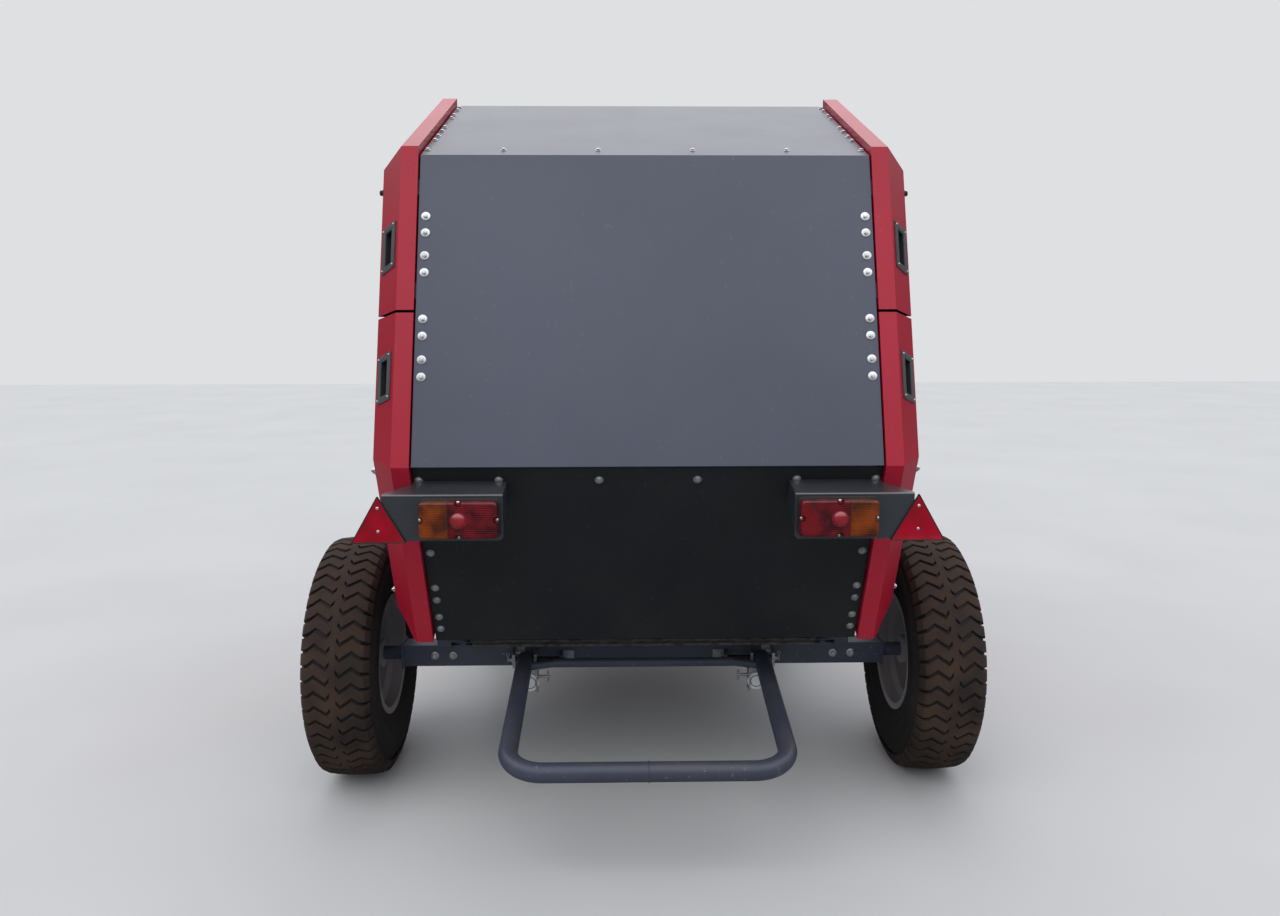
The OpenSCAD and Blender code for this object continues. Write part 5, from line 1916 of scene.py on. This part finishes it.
@dataclass
class DoorLatch:
    """Paddle latches and lifting handles on the outer faces of the doors and the lower shields."""

    side: Side
    paddles: tuple[Pair, ...] = ((0.245, 1.28), (0.300, 1.86))
    handle: Pair = (-0.060, 1.120)

    def paddle(self) -> Work:
        """Models a cup with a paddle in it, with Z outward and Y up.

        Returns:
            The work.
        """
        cup = Work.box((0.060, 0.110, 0.006), (0, 0, 0.003))
        cup.pick(runs_up, Pick.EDGE).bevel(0.014, 4)
        cup.pick(looks_up).inset(0.006, 0.0).extrude((0, 0, -0.004))
        cup.rim(lambda c, n: n.z > 0.9 and c.z > 0.004).bevel(0.0012, 2)
        tongue = Work.box((0.040, 0.070, 0.004), (0, -0.010, 0.0055)).bevel_all(0.0018)
        key = LATCH_KEY.model().turned(shift(0, 0.037, 0.002))
        return joined([cup.dress("black_plastic"), tongue.dress("grip_plastic"), key])

    def build(self) -> None:
        """Builds the latches on the door and the handle on the lower shield."""
        side = self.side
        paddles = self.paddle().spread(on_shield(side, self.paddles))
        finish_piece(paddles, side.of("latches"), side.of("door"))
        bow = BoxTrim().handle().turned(Matrix.Rotation(math.pi / 2, 4, "X"))
        bow.turned(*on_shield(side, [self.handle]))
        finish_piece(bow, side.of("wing_handle"), side.of("wing"))


@dataclass
class JackTrim:
    """The parking jack's crank with its turning grip."""

    node: str = "jack_crank"
    reach: float = 0.140
    grip: Pair = (0.016, 0.102)

    def build(self) -> None:
        """Builds the crank in place of the CAD solid."""
        low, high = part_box(self.node)
        foot = middle("jack_leg")
        axis = Vector((foot.x, foot.y, low.z))
        shaft = Work.disc(0.010, 0.040, 20, (0, 0, 0.020)).bevel_all(0.001)
        arm = Work.box((self.reach + 0.024, 0.018, 0.009), (-self.reach / 2, 0, 0.0325))
        arm.pick(runs_up, Pick.EDGE).bevel(0.0088, 5)
        arm.rim(looks_up).bevel(0.0012, 2)
        base, top = self.grip[0] + 0.020, self.grip[1] + 0.016
        handle = Work.lathe([
            (0, base), (0.0105, base), (0.012, base + 0.004), (0.0105, base + 0.022), (0.0118, base + 0.045),
            (0.0118, top - 0.012), (0.009, top - 0.003), (0, top)], 24)
        parts = [shaft.dress("zinc"), arm.dress("zinc")]
        parts.append(handle.dress("black_plastic").turned(shift(-self.reach, 0, 0)))
        crank = joined(parts).turned(shift(*axis))
        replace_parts(finish_piece(crank, "jack_crank_grip", "chassis"), self.node)


@dataclass
class Studio:
    """The plain room: pale floor, soft lamps and the camera at the photograph's angle."""

    eye: tuple[float, float, float] = (-0.079, -3.529, 1.665)
    pitch: float = 0.1411
    yaw: float = 0.0195
    roll: float = 0.0015
    focal_px: float = 983.5
    frame_px: tuple[int, int] = (1280, 916)
    axis_row_px: float = 455.7
    floor: float = 40.0

    def camera(self) -> None:
        """Makes the camera."""
        data = bpy.data.cameras.new("camera")
        data.sensor_fit = "HORIZONTAL"
        data.sensor_width = 36.0
        data.lens = self.focal_px / self.frame_px[0] * data.sensor_width
        data.shift_y = (self.axis_row_px - self.frame_px[1] / 2) / self.frame_px[0]
        data.clip_start = 0.05
        camera = bpy.data.objects.new("camera", data)
        camera.location = at(*self.eye)
        camera.rotation_euler = (math.pi / 2 - self.pitch, self.roll, -self.yaw)
        bpy.context.scene.collection.objects.link(camera)
        bpy.context.scene.camera = camera

    def sun(self, name: str, place: Sequence[float], strength: float, spread: float) -> None:
        """Makes one soft, distant lamp that lights floor and machine evenly.

        Args:
            name: its name.
            place: the side that it shines from.
            strength: its strength.
            spread: how wide it looks in degrees, for soft shadows.
        """
        data = bpy.data.lights.new(name, "SUN")
        data.energy = strength
        data.angle = math.radians(spread)
        lamp = bpy.data.objects.new(name, data)
        lamp.location = place
        lamp.rotation_euler = (-Vector(place)).to_track_quat("-Z", "Y").to_euler()
        lamp.visible_glossy = False
        bpy.context.scene.collection.objects.link(lamp)

    def ground(self) -> None:
        """Makes the floor, pale as seen and painted dark grey in reflections."""
        release()
        bpy.ops.mesh.primitive_plane_add(size=self.floor, location=(0, 0, 0))
        floor = bpy.context.object
        floor.name = "floor"
        surface = Surface("floor")
        patch = surface.ramp(surface.noise(surface.place, 0.8, 3.0), 0.2, 0.8)
        tone = surface.mix(patch, (0.66, 0.66, 0.655), (0.70, 0.70, 0.695))
        # Glossy rays see the floor as dark grey: a painted dark reflection, which puts shade on the machine's
        # lower faces
        path = surface.add("ShaderNodeLightPath").outputs
        seen = surface.mix(path["Is Glossy Ray"], tone, (0.16, 0.16, 0.16))
        surface.feed(surface.shader, {"Base Color": seen, "Roughness": 0.85, "Specular IOR Level": 0.0})
        floor.data.materials.append(surface.material)

    def sky(self) -> None:
        """Makes the pale surroundings, seen plain, and brighter overhead in reflections."""
        world = bpy.data.worlds.new("surroundings")
        world.use_nodes = True
        bpy.context.scene.world = world
        graph = Graph(world.node_tree)
        nodes = graph.tree.nodes
        soft = nodes["Background"]
        graph.feed(soft, {"Color": (0.88, 0.92, 1.0, 1), "Strength": 0.62})
        height = graph.part(graph.add("ShaderNodeTexCoord").outputs["Generated"], "Z")
        overhead = graph.plus(graph.times(graph.ramp(height, 0.10, 0.75), 1.9), 0.10)
        sheen = graph.add("ShaderNodeBackground", {"Color": (0.94, 0.95, 0.98, 1), "Strength": overhead})
        seen = graph.add("ShaderNodeBackground", {"Color": (0.90, 0.91, 0.93, 1), "Strength": 0.82})
        path = graph.add("ShaderNodeLightPath").outputs
        mixed = soft
        for ray, other in (("Is Glossy Ray", sheen), ("Is Camera Ray", seen)):
            inputs = {0: path[ray], 1: mixed.outputs[0], 2: other.outputs[0]}
            mixed = graph.add("ShaderNodeMixShader", inputs)
        graph.feed(nodes["World Output"], {"Surface": mixed.outputs[0]})

    def build(self) -> None:
        """Makes the whole room."""
        self.ground()
        self.sky()
        self.camera()
        self.sun("key", (-4.0, -4.5, 7.5), 0.95, 60.0)
        self.sun("fill", (5.0, -4.0, 6.0), 0.32, 60.0)
        self.sun("front", (1.0, 5.0, 8.0), 0.50, 60.0)
        bpy.context.scene.view_settings.view_transform = "Standard"


def main() -> None:
    """Builds every sub-assembly."""
    logging.basicConfig(level=logging.INFO, format="%(name)s %(message)s")
    dress_nodes()
    Studio().build()
    for part in SHEETS + FRAMES:
        part.build()
    for side in Side:
        Tyre(side).build()
        WheelTrim(side).build()
    for panel in PANELS:
        panel.build()
    TailLamp().build()
    WarningTriangle().build()
    for side in Side:
        Grip(side, "grip_upper", "tailgate", 1.870).build()
        Grip(side, "grip_lower", side.of("wing"), 1.482).build()
        ShieldTrim(side).build()
        DoorLatch(side).build()
    for assembly in (AxleFasteners, RampMount, RampWeld, Bearings, TineRows, PickupFrame, PickupTrim,
                     Gearing, ShaftGuard, BoxTrim, JackTrim):
        assembly().build()
    release()
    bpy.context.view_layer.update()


if __name__ == "__main__":
    main()
